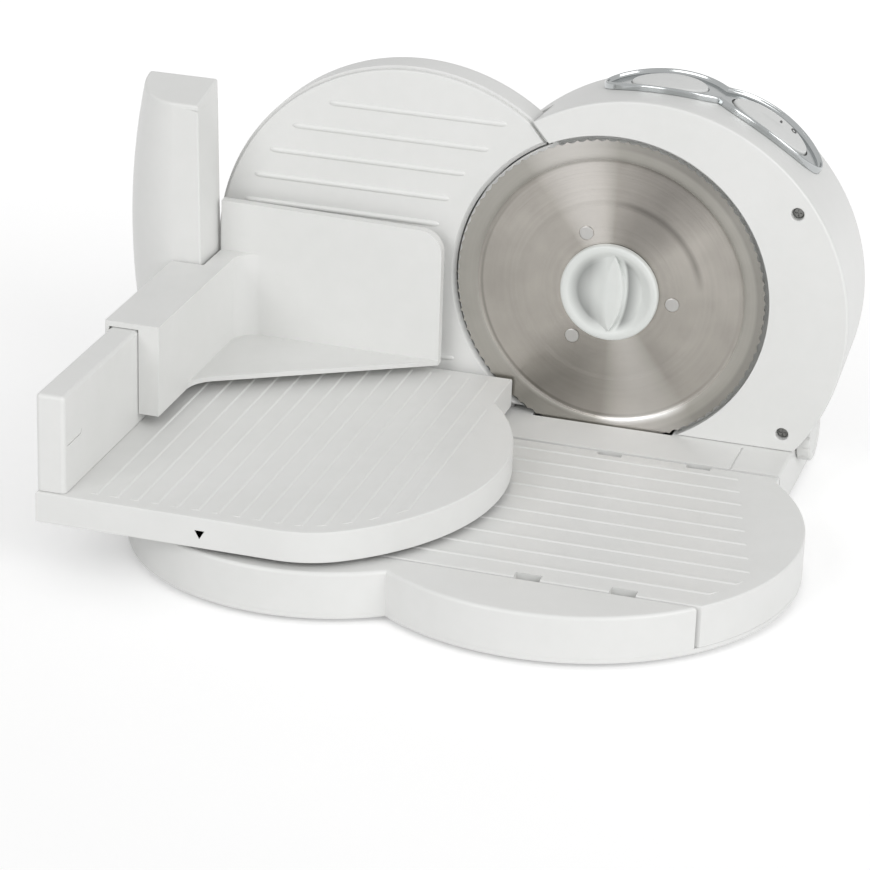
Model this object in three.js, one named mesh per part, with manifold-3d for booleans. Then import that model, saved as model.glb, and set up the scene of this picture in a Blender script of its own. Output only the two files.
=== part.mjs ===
// Electric food slicer: round serrated blade, thickness gauge, sliding carriage and pull-out tray.
// Millimetres, +Z up, +X to the right along the blade, +Y towards the motor.
// The pieces are placed from the blade: its cutting edge lies in y = 0 and its axis crosses x = 0.
// The group is then moved so that the origin is the bottom centre of the whole machine.

import * as THREE from 'three';
import { mergeVertices } from 'three/addons/utils/BufferGeometryUtils.js';
import Module from 'manifold-3d';

const wasm = await Module();
wasm.setup();

// Common sizes
const wall = 3; // moulded shell wall
const gap = 0.3; // gap between pieces that rest on each other
const runningGap = 0.5; // gap between pieces that slide or turn
const past = 1; // how far a cutting shape reaches past the face it cuts
const fineSteps = 64; // facets of a large round
const roundSteps = 32; // facets of a middle-sized round
const smallSteps = 12; // facets of a small round
const cornerSteps = 4; // half the facets of a corner
const ovalSteps = 10; // half the facets of a control's oval

// Base
const footHeight = 3; // air under the floor plate
const footRadius = 9;
const footPlugRadius = 4;
const footPlugLength = 2.4;
const floorThickness = 3;
const bodyHeight = 25; // moulded base above the floor plate
const rightLobe = { x: 17, y: -134, r: 133 };
const leftLobe = { x: -125, y: -149, r: 115 };
const rearBlock = { left: -95, right: 118, back: 84, corner: 16 }; // carries the housing
const gaugeBlock = { left: -190, back: 56, corner: 16 }; // reaches under the gauge
const blockFront = -62; // where both rear blocks run into the lobes
const footPlaces = [[-172, -222], [72, -234], [-172, 38], [98, 64]];
const floorScrewPlaces = [[-200, -140], [10, -248], [-160, 20], [97, 40]];
const bossRadius = 5;

// Pull-out tray between the two guide grooves
const frontGrooveY = -226;
const rearGrooveY = -39;
const grooveWidth = 2.4;
const channelLeft = -160;
const trayLeft = -150;
const channelWall = 4;
const trayRibs = { count: 10, inset: 14, width: 1.6, height: 0.6, endInset: 24 };
const baseSeam = { x: 88, width: 0.8, depth: 0.8, inset: 3 }; // short seam on the strip before the face plate
const notch = { first: 15.8, pitch: 54, width: 15, depth: 6, wall: 1.5 }; // where the carriage hooks lift out

// Blade and its drive
const bladeRadius = 95;
const bladeAboveBase = 85.6; // axis above the base top
const bladeBore = 9;
const bladeDish = 1.4; // how far the middle lies behind the cutting edge
const bladeThickness = 1.2;
const bladeEdge = 0.3; // thickness left at the rim
const bevelWidth = 15;
const scallop = { count: 96, depth: 0.9 };
const rivet = { circle: 40, count: 3, turn: 115, radius: 2, head: 4, headHeight: 0.7 };
const bladeGap = 2; // gap round the blade in the housing and the gauge
const gearFlange = { radius: 46, thickness: 3 };
const gearHubRadius = 18;
const gearWheel = { tip: 44, root: 41.5, teeth: 40, front: 36, width: 12 };
const axleRadius = 5.5;
const axleFlange = { radius: 10, thickness: 3 };
const knobStem = { radius: 8, length: 11 };
const bladeKnob = { radius: 30, height: 4.4, rim: 2.4, floor: 1.6, finWidth: 13, finLength: 50 };

// Motor
const motorRadius = 22;
const motorLength = 60;
const motorStart = 36; // distance of the motor's near end from the blade axis
const wormRadius = 6;
const wormCore = 4;
const wormLength = 30;
const wormTurns = 4;
const shaftRadius = 3;
const fan = { radius: 17, hub: 7, width: 5, blades: 9, bladeThickness: 1.4 };
const bracketSheet = 3; // sheet steel of the motor bracket
const bracketTop = 35; // above the blade axis
const earHalf = { worm: 11, motor: 17 }; // half heights of the ears
const earReach = 11; // ears in front of the shaft
const pillar = { left: -14, fromMotorEnd: 8, up: 28, down: 30 }; // bracket screws, from the blade axis
const wormBush = { radius: 6, length: 6 };

// Housing
const housing = { x: 17, aboveBase: 78, frontRadius: 127.5, backRadius: 123.8, depth: 82, fillet: 8 };
const facePlate = { front: -0.5, thickness: 3.5 };
const pan = { radius: 91.5, wall: 2.5, floorFront: 12, hole: 52, flange: 104 };
const faceScrewTurns = [[37.6, 10.6], [-35.9, 12.4]]; // angle round the housing, distance from its edge
const faceScrew = { recess: 3.9, recessDepth: 5.5, head: 3.4, headHeight: 1.7, shank: 1.5, length: 18 };
const faceBossRadius = 6.5;
const vent = { count: 8, pitch: 8, width: 3, height: 36, x: 66, aboveBase: 60 };
const gland = { x: 92, aboveBase: 17, radius: 8, neck: 5, bore: 3.2, flange: 2.6, proud: 6 };

// Controls on the rim of the housing, each at an angle round the housing axis
const controlY = 46;
const safetyAngle = 88.5;
const powerAngle = 58.4;
const bezel = { halfLength: 40, halfWidth: 26, height: 4.2, rim: 3.2, floor: 1.4 };
const insert = { halfLength: 25, halfWidth: 18.5, proud: 2.8, below: 7.5 };
const insertGap = 1.2;
const switchCup = { endMargin: 1.5, sideMargin: 4, depth: 15, floor: 5 };
const rockerPin = { below: 5.8, radius: 2, reach: 3 }; // pivot under the rim where its pin ends
const buttonPeg = { radius: 2.5, depth: 17 };

// Thickness gauge
const gauge = { x: -126, aboveBase: 85, rimRadius: 124, faceStep: 2, front: 1.5, plate: 3, depth: 23.5 };
const gaugeTravel = 15;
const gaugeAboveBase = 2.5;
const gaugeRib = { top: 96.5, pitch: 17, count: 10, inset: 12, width: 3.2, height: 1.4 };
const seamTurn = 39.5; // tilt of the seam between gauge and face plate, degrees
const gaugeLeg = { left: -112, right: -58, front: 8, back: 18 };
const slideBar = { right: 82, aboveFloor: 6.7, height: 7 };
const rodPlaces = [-90, 50];
const rodRadius = 3;
const rodHolder = { front: -26, back: 48, thickness: 4, width: 16 };

// Thickness knob, its shaft and the pinion that drives the rack
const knob = { y: 21, aboveBase: 4.5, radius: 16, width: 8.4, pocketGap: 1.6, bore: 5 };
const knobFlutes = { count: 14, radius: 1.3 };
const knobShaftRadius = 2.5;
const pinion = { x: 70, width: 6, pitch: 4.5, tip: 5.1, root: 3.7, teeth: 12 };
const rack = { height: 5, toothHeight: 1.3 };
const toothFoot = 0.34; // half a tooth's width at its foot, as a share of the pitch
const toothTip = 0.12; // and at its tip

// Carriage
const tableClear = 3.5; // underside of the table above the base
const table = { left: -259.5, front: -260, rear: -2.5, tab: -57, endX: -170.5, endY: -132, endRadius: 145.5 };
const tableBlend = 60; // radius between the front edge and the round end
const tableHeight = 18.5;
const tableSkin = 2.5;
const tableRibs = { count: 15, first: -232, pitch: 12, width: 1.4, height: 0.6, inset: 9 };
const runner = { from: -190, to: -76, thickness: 3, offset: 4.6 };
const hook = { length: 13, thickness: 1.4, reach: 11.5, toe: 1.6, toeHeight: 2.5 };
const carriageTravel = 190;
const sideWall = { thickness: 17.3, height: 58, front: -258, skin: 2.5, edge: 1.5 };

// Thumb guard at the back of the side wall
const guard = { front: -42.7, back: -8, left: -300, topLeft: -290, topRight: -246.5, bottomLeft: -292 };
const guardFrontWidth = 18.5;
const guardTop = { front: 214.5, back: 222 }; // heights above the bench
const guardSkin = 3;

// Food pusher riding on the side wall
const pusher = { front: -150, plate: 6, right: -101, top: 147, drop: 2.5, corner: 14, rear: -8 };
const saddle = { top: 3.4, lip: 2.3, lipDrop: 18, leg: 12.5, stop: -44 };
const legClear = 6.5; // underside of the pusher above the table
const pusherFillet = 14;
const web = { reach: -94, thickness: 3 };
const spike = { rows: 2, columns: 5, radius: 1.6, height: 2.4, pitchX: 24, pitchZ: 30 };

// Heights worked out from the sizes above
const floorBottom = footHeight;
const floorTop = floorBottom + floorThickness;
const bodyBottom = floorTop + gap;
const baseTop = bodyBottom + bodyHeight - gap;
const bladeZ = baseTop + bladeAboveBase;
const housingZ = baseTop + housing.aboveBase;
const housingBottom = baseTop + gap;
const gaugeZ = baseTop + gauge.aboveBase;
const gaugeBottom = baseTop + gaugeAboveBase;
const gaugeShellFront = gauge.front + gauge.plate + gap;
const gaugeBack = gauge.front + gauge.depth;
const gaugeSweep = gaugeBack + gaugeTravel + runningGap * 3;
const tableBottom = baseTop + tableClear;
const tableTop = tableBottom + tableHeight;
const knobZ = baseTop + knob.aboveBase;
const wormZ = bladeZ - gearWheel.tip - wormRadius - gap;
const wormY = gearWheel.front + gearWheel.width / 2;
const motorEnd = motorStart + motorLength;
const bracketY = wormY + motorRadius + runningGap * 2;
const openingRadius = bladeRadius + bladeGap;
const faceBack = facePlate.front + facePlate.thickness;
const shellFront = faceBack + gap;
const housingBack = housing.depth - wall;
const wallRight = table.left + sideWall.thickness;
const wallTop = tableTop + gap + sideWall.height;

// Materials
function finish(color, roughness, metalness) {
  return new THREE.MeshStandardMaterial({ color, roughness, metalness });
}
const plastic = (color, roughness) => finish(color, roughness, 0);
const metal = (color, roughness) => finish(color, roughness, 1);
const white = plastic(0xe6e6e2, 0.35);
const dark = plastic(0x2b2c2d, 0.6);
const rubber = plastic(0x3a3a3a, 0.9);
const nylon = plastic(0xf0ecd8, 0.45);
const steel = metal(0xb9b4ad, 0.3);
const chrome = metal(0xd8dadd, 0.08);
const bronze = metal(0xb08d57, 0.4);

const radians = (degrees) => THREE.MathUtils.degToRad(degrees);

// The face plate's screws as x and height above the base
const faceScrewPlaces = faceScrewTurns.map(([angle, inset]) => {
  const r = housing.frontRadius - inset;
  return [housing.x + r * Math.cos(radians(angle)), housing.aboveBase + r * Math.sin(radians(angle))];
});

// A closed geometry as a solid, with its faces pointing out
function solid(geometry) {
  const bare = geometry.index ? geometry.toNonIndexed() : geometry;
  bare.deleteAttribute('normal');
  bare.deleteAttribute('uv');
  const merged = mergeVertices(bare, 1e-4);
  const vertProperties = new Float32Array(merged.attributes.position.array);
  const index = merged.index.array;
  const corner = (i) => new THREE.Vector3().fromArray(vertProperties, 3 * i);
  const kept = [];
  let volume = 0;
  for (let i = 0; i < index.length; i += 3) {
    const [a, b, c] = [index[i], index[i + 1], index[i + 2]];
    if (a === b || b === c || c === a) continue;
    kept.push(a, b, c);
    volume += corner(a).dot(corner(b).cross(corner(c)));
  }
  if (volume < 0) kept.reverse();
  const mesh = new wasm.Mesh({ numProp: 3, vertProperties, triVerts: new Uint32Array(kept) });
  return new wasm.Manifold(mesh);
}

const join = (...solids) => solids.reduce((whole, next) => whole.add(next));
const cut = (body, ...tools) => tools.reduce((left, tool) => left.subtract(tool), body);

// A block between two limits on each axis
function block([x0, x1], [y0, y1], [z0, z1]) {
  const geometry = new THREE.BoxGeometry(x1 - x0, y1 - y0, z1 - z0);
  return solid(geometry.translate((x0 + x1) / 2, (y0 + y1) / 2, (z0 + z1) / 2));
}

// A round bar along an axis: the place is (y, z), (x, z) or (x, y) for the axes x, y and z
function bar(axis, [u, v], radius, [from, to], steps = smallSteps) {
  const geometry = new THREE.CylinderGeometry(radius, radius, to - from, steps);
  const middle = (from + to) / 2;
  if (axis === 'x') return solid(geometry.rotateZ(Math.PI / 2).translate(middle, u, v));
  if (axis === 'y') return solid(geometry.translate(u, middle, v));
  return solid(geometry.rotateX(Math.PI / 2).translate(u, v, middle));
}

// A flat shape pushed along an axis: drawn in (y, z), (x, z) or (x, y) for the axes x, y and z
function prism(axis, shape, [from, to], steps = cornerSteps) {
  const depth = to - from;
  const geometry = new THREE.ExtrudeGeometry(shape, { depth, bevelEnabled: false, curveSegments: steps });
  if (axis === 'x') {
    const [x, y, z] = [[1, 0, 0], [0, 1, 0], [0, 0, 1]].map((v) => new THREE.Vector3(...v));
    return solid(geometry.applyMatrix4(new THREE.Matrix4().makeBasis(y, z, x)).translate(from, 0, 0));
  }
  if (axis === 'y') return solid(geometry.rotateX(Math.PI / 2).translate(0, to, 0));
  return solid(geometry.translate(0, 0, from));
}

// A profile of (radius, y) pairs turned about a line along Y
function turned(profile, [x, z], steps = roundSteps) {
  const points = profile.map(([r, y]) => new THREE.Vector2(r, y));
  return solid(new THREE.LatheGeometry(points, steps).translate(x, 0, z));
}

function polygon(points) {
  return new THREE.Shape(points.map(([u, v]) => new THREE.Vector2(u, v)));
}

// A rectangle with one radius on all four corners
function roundedRectangle([x0, x1], [y0, y1], r) {
  const shape = new THREE.Shape();
  shape.absarc(x1 - r, y0 + r, r, -Math.PI / 2, 0);
  shape.absarc(x1 - r, y1 - r, r, 0, Math.PI / 2);
  shape.absarc(x0 + r, y1 - r, r, Math.PI / 2, Math.PI);
  shape.absarc(x0 + r, y0 + r, r, Math.PI, Math.PI * 1.5);
  return shape;
}

// The outline of a toothed wheel
function toothedWheel(teeth, root, tip) {
  const corners = [];
  for (let i = 0; i < teeth; i += 1) {
    const parts = [[-toothFoot, root], [-toothTip, tip], [toothTip, tip], [toothFoot, root]];
    parts.forEach(([part, r]) => {
      const a = ((i + part) / teeth) * Math.PI * 2;
      corners.push([r * Math.cos(a), r * Math.sin(a)]);
    });
  }
  return corners;
}

const machine = new THREE.Group();

// Adds one piece of the machine as a named mesh
function piece(name, body, material) {
  const mesh = body.getMesh();
  const geometry = new THREE.BufferGeometry();
  geometry.setAttribute('position', new THREE.BufferAttribute(new Float32Array(mesh.vertProperties), 3));
  geometry.setIndex(new THREE.BufferAttribute(new Uint32Array(mesh.triVerts), 1));
  geometry.computeVertexNormals();
  const node = new THREE.Mesh(geometry, material.clone());
  node.name = name;
  machine.add(node);
}

// Base: two round lobes and the blocks behind them, with the outline drawn in by an inset
function baseOutline(inset, heights) {
  const lobes = [rightLobe, leftLobe].map((lobe) => (
    bar('z', [lobe.x, lobe.y], lobe.r - inset, heights, fineSteps)
  ));
  const back = prism('z', roundedRectangle(
    [rearBlock.left + inset, rearBlock.right - inset], [blockFront, rearBlock.back - inset], rearBlock.corner,
  ), heights);
  const side = prism('z', roundedRectangle(
    [gaugeBlock.left + inset, -gaugeBlock.corner], [blockFront, gaugeBlock.back - inset], gaugeBlock.corner,
  ), heights);
  return join(...lobes, back, side);
}

const halfGroove = grooveWidth / 2;
const channelFront = frontGrooveY - halfGroove;
const channelBack = rearGrooveY + halfGroove;
const channelRight = rightLobe.x + rightLobe.r + past;
const trayFront = frontGrooveY + halfGroove;
const trayBack = rearGrooveY - halfGroove;
const hookBottom = baseTop - hook.reach;
const slotHeights = [hookBottom - runningGap * 2, hookBottom + hook.toeHeight + runningGap * 2];
const notchPlaces = [notch.first, notch.first + notch.pitch];
const barBottom = floorTop + slideBar.aboveFloor;
const barTop = barBottom + slideBar.height;
const rodZ = (barBottom + barTop) / 2;
const wellHalf = Math.sqrt(bladeRadius ** 2 - bladeAboveBase ** 2) + bladeGap * 3;

// The base moulding: a shell with the tray channel and the blade well
function baseBody() {
  const shell = baseOutline(0, [bodyBottom, baseTop]);
  const channelHeights = [bodyBottom - past, baseTop + past];
  const hollow = cut(
    baseOutline(wall, [bodyBottom - past, baseTop - wall]),
    block(
      [channelLeft - channelWall, channelRight],
      [channelFront - channelWall, channelBack + channelWall],
      channelHeights,
    ),
  );
  const channel = block([channelLeft, channelRight], [channelFront, channelBack], channelHeights);
  const well = block(
    [-wellHalf, wellHalf],
    [facePlate.front - runningGap * 2, pan.floorFront + wall + bladeGap],
    [bodyBottom + wall, baseTop + past],
  );
  const legSlot = block(
    [gaugeLeg.left - past, gaugeLeg.right + past],
    [gaugeLeg.front - past, gaugeLeg.back + gaugeTravel + past],
    [baseTop - wall - past, baseTop + past],
  );
  const rackSlot = block(
    [pinion.x - bladeGap, pinion.x + pinion.width + bladeGap],
    [shellFront, knob.y + gaugeTravel + pinion.tip + bladeGap],
    [baseTop - wall - past, baseTop + past],
  );
  const seam = block(
    [baseSeam.x, baseSeam.x + baseSeam.width],
    [channelBack + baseSeam.inset, facePlate.front - baseSeam.inset],
    [baseTop - baseSeam.depth, baseTop + past],
  );
  let body = cut(shell, hollow, channel, well, legSlot, rackSlot, seam);
  for (const [x, y] of floorScrewPlaces) {
    body = body.add(bar('z', [x, y], bossRadius, [bodyBottom, baseTop - wall / 2]));
    const hole = [bodyBottom - past, bodyBottom + bodyHeight / 2];
    body = body.subtract(bar('z', [x, y], faceScrew.shank + gap, hole));
  }
  for (const x of rodPlaces) {
    for (const y of [rodHolder.front, rodHolder.back]) {
      const holder = block(
        [x - rodHolder.width / 2, x + rodHolder.width / 2],
        [y, y + rodHolder.thickness],
        [bodyBottom, baseTop - wall / 2],
      );
      body = body.add(holder);
    }
    const reach = [rodHolder.front - past, rodHolder.back + rodHolder.thickness + past];
    body = body.subtract(bar('y', [x, rodZ], rodRadius + gap, reach));
  }
  return body;
}
piece('base_body', baseBody(), white);

// Floor plate with its foot sockets and screw holes
const floorSinks = floorScrewPlaces.flatMap(([x, y]) => [
  bar('z', [x, y], faceScrew.shank + runningGap, [floorBottom - past, floorTop + past]),
  bar('z', [x, y], faceScrew.head + runningGap, [floorBottom - past, floorBottom + faceScrew.headHeight]),
]);
const footSockets = footPlaces.map(([x, y]) => (
  bar('z', [x, y], footPlugRadius + gap, [floorBottom - past, floorTop + past])
));
piece('base_floor', cut(baseOutline(0, [floorBottom, floorTop]), ...floorSinks, ...footSockets), white);

footPlaces.forEach(([x, y], i) => {
  const pad = bar('z', [x, y], footRadius, [0, floorBottom - gap]);
  const plug = bar('z', [x, y], footPlugRadius, [0, floorBottom + footPlugLength]);
  piece(`rubber_foot_${i + 1}`, pad.add(plug), rubber);
});

floorScrewPlaces.forEach(([x, y], i) => {
  const top = floorBottom + faceScrew.headHeight - gap;
  const head = bar('z', [x, y], faceScrew.head, [floorBottom, top]);
  const shank = bar('z', [x, y], faceScrew.shank, [floorBottom, top + faceScrew.length / 2]);
  piece(`floor_screw_${i + 1}`, head.add(shank), steel);
});

// Pull-out tray: its round end is the right-hand end of the base
function trayOutline(inset, heights) {
  const end = bar('z', [rightLobe.x, rightLobe.y], rightLobe.r - inset, heights, fineSteps);
  const run = block([trayLeft + inset, rightLobe.x], [trayFront, trayBack], heights);
  const corner = block([rightLobe.x, rearBlock.right - inset], [blockFront, trayBack], heights);
  const strip = block([trayLeft + inset, channelRight], [trayFront + inset, trayBack - inset], heights);
  return join(end, run, corner).intersect(strip);
}
const trayBottom = floorTop + runningGap;
const trayRibSpan = trayBack - trayFront - 2 * trayRibs.inset;
const trayRibField = trayOutline(trayRibs.endInset, [baseTop - past, baseTop + trayRibs.height]);
let tray = cut(trayOutline(0, [trayBottom, baseTop]), trayOutline(wall, [trayBottom - past, baseTop - wall]));
for (let i = 0; i < trayRibs.count; i += 1) {
  const y = trayFront + trayRibs.inset + (i * trayRibSpan) / (trayRibs.count - 1);
  const rib = block(
    [trayLeft + trayRibs.inset, channelRight],
    [y, y + trayRibs.width],
    [baseTop - wall / 2, baseTop + trayRibs.height],
  );
  tray = tray.add(rib.intersect(trayRibField));
}
// Both edges of the tray have a slot for the toes of the carriage hooks and pockets where they lift out
const slotDepth = hook.thickness / 2 + hook.toe - halfGroove + runningGap * 2;
const slotEnd = notchPlaces[1] + notch.pitch / 2 + hook.length / 2 + runningGap * 2;
function withHookEdge(body, edgeY, side) {
  const across = (from, to) => [edgeY + side * from, edgeY + side * to].sort((a, b) => a - b);
  const pocket = (x, grow, depths, heights) => block(
    [x - notch.width / 2 - grow, x + notch.width / 2 + grow], across(...depths), heights,
  );
  const linings = notchPlaces.map((x) => (
    pocket(x, notch.wall, [0, notch.depth + notch.wall], [slotHeights[0] - notch.wall, baseTop])
  ));
  const pockets = notchPlaces.map((x) => (
    pocket(x, 0, [-past, notch.depth], [slotHeights[0], baseTop + past])
  ));
  const slot = block([trayLeft - past, slotEnd], across(-past, slotDepth), slotHeights);
  return cut(join(body, ...linings), slot, ...pockets);
}
tray = withHookEdge(withHookEdge(tray, trayFront, 1), trayBack, -1);
piece('slice_tray', tray, white);

// Where the rim of the gauge and the edge of the face plate cross, above the blade
function notchPoint() {
  const dx = housing.x - gauge.x;
  const dz = housingZ - gaugeZ;
  const d = Math.hypot(dx, dz);
  const along = (gauge.rimRadius ** 2 - housing.frontRadius ** 2 + d ** 2) / (2 * d);
  const up = Math.sqrt(gauge.rimRadius ** 2 - along ** 2);
  return [gauge.x + (along * dx - up * dz) / d, gaugeZ + (along * dz + up * dx) / d];
}
const [notchX, notchZ] = notchPoint();

// The upright room of the gauge: a disc, less the blade, less what lies beyond the seam
function gaugeRoom(grow, reach) {
  const longReach = [reach[0] - past, reach[1] + past];
  const disc = bar('y', [gauge.x, gaugeZ], gauge.rimRadius + grow, reach, fineSteps);
  const bladeRound = bar('y', [0, bladeZ], openingRadius - grow, longReach, fineSteps);
  const far = gauge.rimRadius * 2;
  const beyond = new THREE.BoxGeometry(far, longReach[1] - longReach[0], far * 2);
  beyond.translate(far / 2 + grow, (longReach[0] + longReach[1]) / 2, 0);
  beyond.rotateY(-radians(seamTurn)).translate(notchX, 0, notchZ);
  return cut(disc, bladeRound, solid(beyond));
}

// The same room cut off above the base, as the gauge itself fills it
function gaugeRegion(grow, reach) {
  const far = gauge.rimRadius * 2;
  const under = block(
    [gauge.x - far, gauge.x + far], [reach[0] - past, reach[1] + past], [gaugeZ - far, gaugeBottom - grow],
  );
  return gaugeRoom(grow, reach).subtract(under);
}

// The housing as a turned body with a little draft and a rounded back edge
function housingForm(offset, front, back) {
  const rim = housing.backRadius + offset;
  const fillet = Math.max(housing.fillet + offset, 1);
  const profile = [[0, front], [housing.frontRadius + offset, front], [rim, back - fillet]];
  const arcSteps = 3;
  for (let i = 1; i <= arcSteps; i += 1) {
    const a = (i / arcSteps) * (Math.PI / 2);
    profile.push([rim - fillet * (1 - Math.cos(a)), back - fillet * (1 - Math.sin(a))]);
  }
  profile.push([0, back]);
  return turned(profile, [housing.x, housingZ], fineSteps);
}
const farBelow = block(
  [housing.x - 2 * housing.frontRadius, housing.x + 2 * housing.frontRadius],
  [facePlate.front - pan.floorFront, housing.depth * 2],
  [-housing.frontRadius, housingBottom],
);

// A flat oval pushed out through the rim of the housing at an angle
function rimOval(angle, halfLength, halfWidth) {
  const shape = new THREE.Shape();
  shape.absellipse(0, 0, halfLength, halfWidth, 0, Math.PI * 2);
  const geometry = new THREE.ExtrudeGeometry(shape, {
    depth: housing.frontRadius, bevelEnabled: false, curveSegments: ovalSteps,
  });
  const a = radians(angle);
  const tangent = new THREE.Vector3(Math.sin(a), 0, -Math.cos(a));
  const outward = new THREE.Vector3(Math.cos(a), 0, Math.sin(a));
  const frame = new THREE.Matrix4().makeBasis(tangent, new THREE.Vector3(0, 1, 0), outward);
  const start = outward.clone().multiplyScalar(housing.frontRadius / 2);
  frame.setPosition(housing.x + start.x, controlY, housingZ + start.z);
  return solid(geometry.applyMatrix4(frame));
}

// The layer of the rim between two offsets from the housing surface
function rimLayer(inner, outer) {
  const core = housingForm(inner, shellFront - past, housing.depth);
  return housingForm(outer, shellFront, housing.depth).subtract(core);
}
const rimPiece = (angle, halfLength, halfWidth, inner, outer) => (
  rimOval(angle, halfLength, halfWidth).intersect(rimLayer(inner, outer))
);

const windowLength = insert.halfLength + insertGap;
const windowWidth = insert.halfWidth + insertGap;
const knobPocket = (grow) => bar(
  'x', [knob.y, knobZ], knob.radius + knob.pocketGap + grow,
  [rearBlock.right - grow, rearBlock.right + housing.frontRadius], roundSteps,
);

const pillarRight = motorEnd - pillar.fromMotorEnd;
const pillarPlaces = [
  [pillar.left, -pillar.down],
  [pillar.left, pillar.up],
  [pillarRight, pillar.up],
  [pillarRight, -pillar.down],
];

// Rear housing: the shell over the motor, with the gauge's room cut out of its left side
function rearHousing() {
  const room = gaugeRoom(runningGap * 3, [shellFront - past, gaugeSweep]);
  const roomWall = gaugeRoom(runningGap * 3 + wall, [shellFront - 2 * past, gaugeSweep + wall]);
  const outside = cut(housingForm(0, shellFront, housing.depth), room, farBelow);
  const inside = cut(housingForm(-wall, shellFront - past, housingBack), roomWall, knobPocket(wall));
  let shell = cut(outside, inside, knobPocket(0));
  const panReach = [shellFront - past, gaugeSweep - wall];
  const panRoom = bar('y', [0, bladeZ], pan.radius + runningGap, panReach, fineSteps);
  const bossRoom = housingForm(-wall / 2, shellFront, housing.depth);
  for (const [x, up] of faceScrewPlaces) {
    const z = baseTop + up;
    const bossFront = faceBack + wall + gap + past;
    const boss = bar('y', [x, z], faceBossRadius, [bossFront, housingBack + past]);
    shell = shell.add(boss.intersect(bossRoom));
    const hole = [bossFront - past, bossFront + faceScrew.length];
    shell = shell.subtract(bar('y', [x, z], faceScrew.shank + gap, hole));
  }
  for (const [x, up] of pillarPlaces) {
    const z = bladeZ + up;
    const post = bar('y', [x, z], bossRadius, [bracketY + bracketSheet + gap, housingBack + past]);
    shell = shell.add(post.intersect(bossRoom));
    const hole = [bracketY, bracketY + bracketSheet + faceScrew.length / 2];
    shell = shell.subtract(bar('y', [x, z], faceScrew.shank + gap, hole));
  }
  for (let i = 0; i < vent.count; i += 1) {
    const x = vent.x + (i - (vent.count - 1) / 2) * vent.pitch;
    const z = baseTop + vent.aboveBase;
    const slot = block(
      [x - vent.width / 2, x + vent.width / 2],
      [housingBack - past, housing.depth + past],
      [z - vent.height / 2, z + vent.height / 2],
    );
    shell = shell.subtract(slot);
  }
  const glandHole = bar(
    'y', [gland.x, baseTop + gland.aboveBase], gland.neck + gap, [housingBack - past, housing.depth + past],
  );
  const shaftSlot = block(
    [rearBlock.right - wall * 6, rearBlock.right + wall],
    [knob.y - knobShaftRadius - runningGap, knob.y + knobShaftRadius + runningGap],
    [housingBottom - past, knobZ + knobShaftRadius + runningGap],
  );
  const openings = [safetyAngle, powerAngle].map((angle) => rimOval(angle, windowLength, windowWidth));
  const bossReach = [shellFront - past, faceBack + wall + past + gap];
  const faceBosses = faceScrewPlaces.map(([x, up]) => (
    bar('y', [x, baseTop + up], faceBossRadius - past + gap, bossReach)
  ));
  return cut(shell, panRoom, glandHole, shaftSlot, ...openings, ...faceBosses);
}
piece('rear_housing', rearHousing(), white);

// Face plate: the flat front round the blade, with the pan behind the blade
function facePiece() {
  const gaugeSide = block(
    [housing.x - 2 * housing.frontRadius, 0],
    [facePlate.front - past, faceBack + past],
    [-housing.frontRadius, bladeZ],
  );
  const plate = cut(
    bar('y', [housing.x, housingZ], housing.frontRadius, [facePlate.front, faceBack], fineSteps),
    gaugeRoom(past, [facePlate.front - past, faceBack + past]),
    bar('y', [0, bladeZ], openingRadius, [facePlate.front - past, faceBack + past], fineSteps),
    gaugeSide,
  );
  const flange = cut(
    bar('y', [0, bladeZ], pan.flange, [faceBack - runningGap, faceBack + wall], fineSteps),
    gaugeRoom(pan.flange - openingRadius, [facePlate.front, faceBack + wall + past]),
  ).intersect(housingForm(-wall - runningGap, facePlate.front, housing.depth));
  const cup = bar('y', [0, bladeZ], pan.radius, [faceBack, pan.floorFront + pan.wall], fineSteps);
  let body = cut(
    join(plate, flange),
    farBelow,
  ).add(cup);
  body = cut(
    body,
    bar('y', [0, bladeZ], pan.radius - pan.wall, [facePlate.front - past, pan.floorFront], fineSteps),
    bar('y', [0, bladeZ], pan.hole, [facePlate.front - past, housing.depth], fineSteps),
  );
  for (const [x, up] of faceScrewPlaces) {
    const z = baseTop + up;
    const seat = facePlate.front + faceScrew.recessDepth;
    body = body.add(bar('y', [x, z], faceBossRadius - past, [faceBack - past, faceBack + wall + past]));
    body = body.subtract(bar('y', [x, z], faceScrew.recess, [facePlate.front - past, seat]));
    const hole = [seat - past, faceBack + wall + 2 * past];
    body = body.subtract(bar('y', [x, z], faceScrew.shank + runningGap, hole));
  }
  return body;
}
piece('face_plate', facePiece(), white);

faceScrewPlaces.forEach(([x, up], i) => {
  const z = baseTop + up;
  const seat = facePlate.front + faceScrew.recessDepth - gap;
  const head = bar('y', [x, z], faceScrew.head, [seat - faceScrew.headHeight, seat]);
  const shank = bar('y', [x, z], faceScrew.shank, [seat - past, seat + faceScrew.length]);
  piece(`face_screw_${i + 1}`, head.add(shank), steel);
});

// Cord gland in the back of the housing
const glandFront = housingBack - wall;
piece('cord_gland', turned([
  [gland.bore, glandFront],
  [gland.neck, glandFront],
  [gland.neck, housing.depth + gap],
  [gland.radius, housing.depth + gap],
  [gland.radius, housing.depth + gap + gland.flange],
  [gland.neck, housing.depth + gap + gland.proud],
  [gland.bore, housing.depth + gap + gland.proud],
  [gland.bore, glandFront],
], [gland.x, baseTop + gland.aboveBase], smallSteps), dark);

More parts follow.
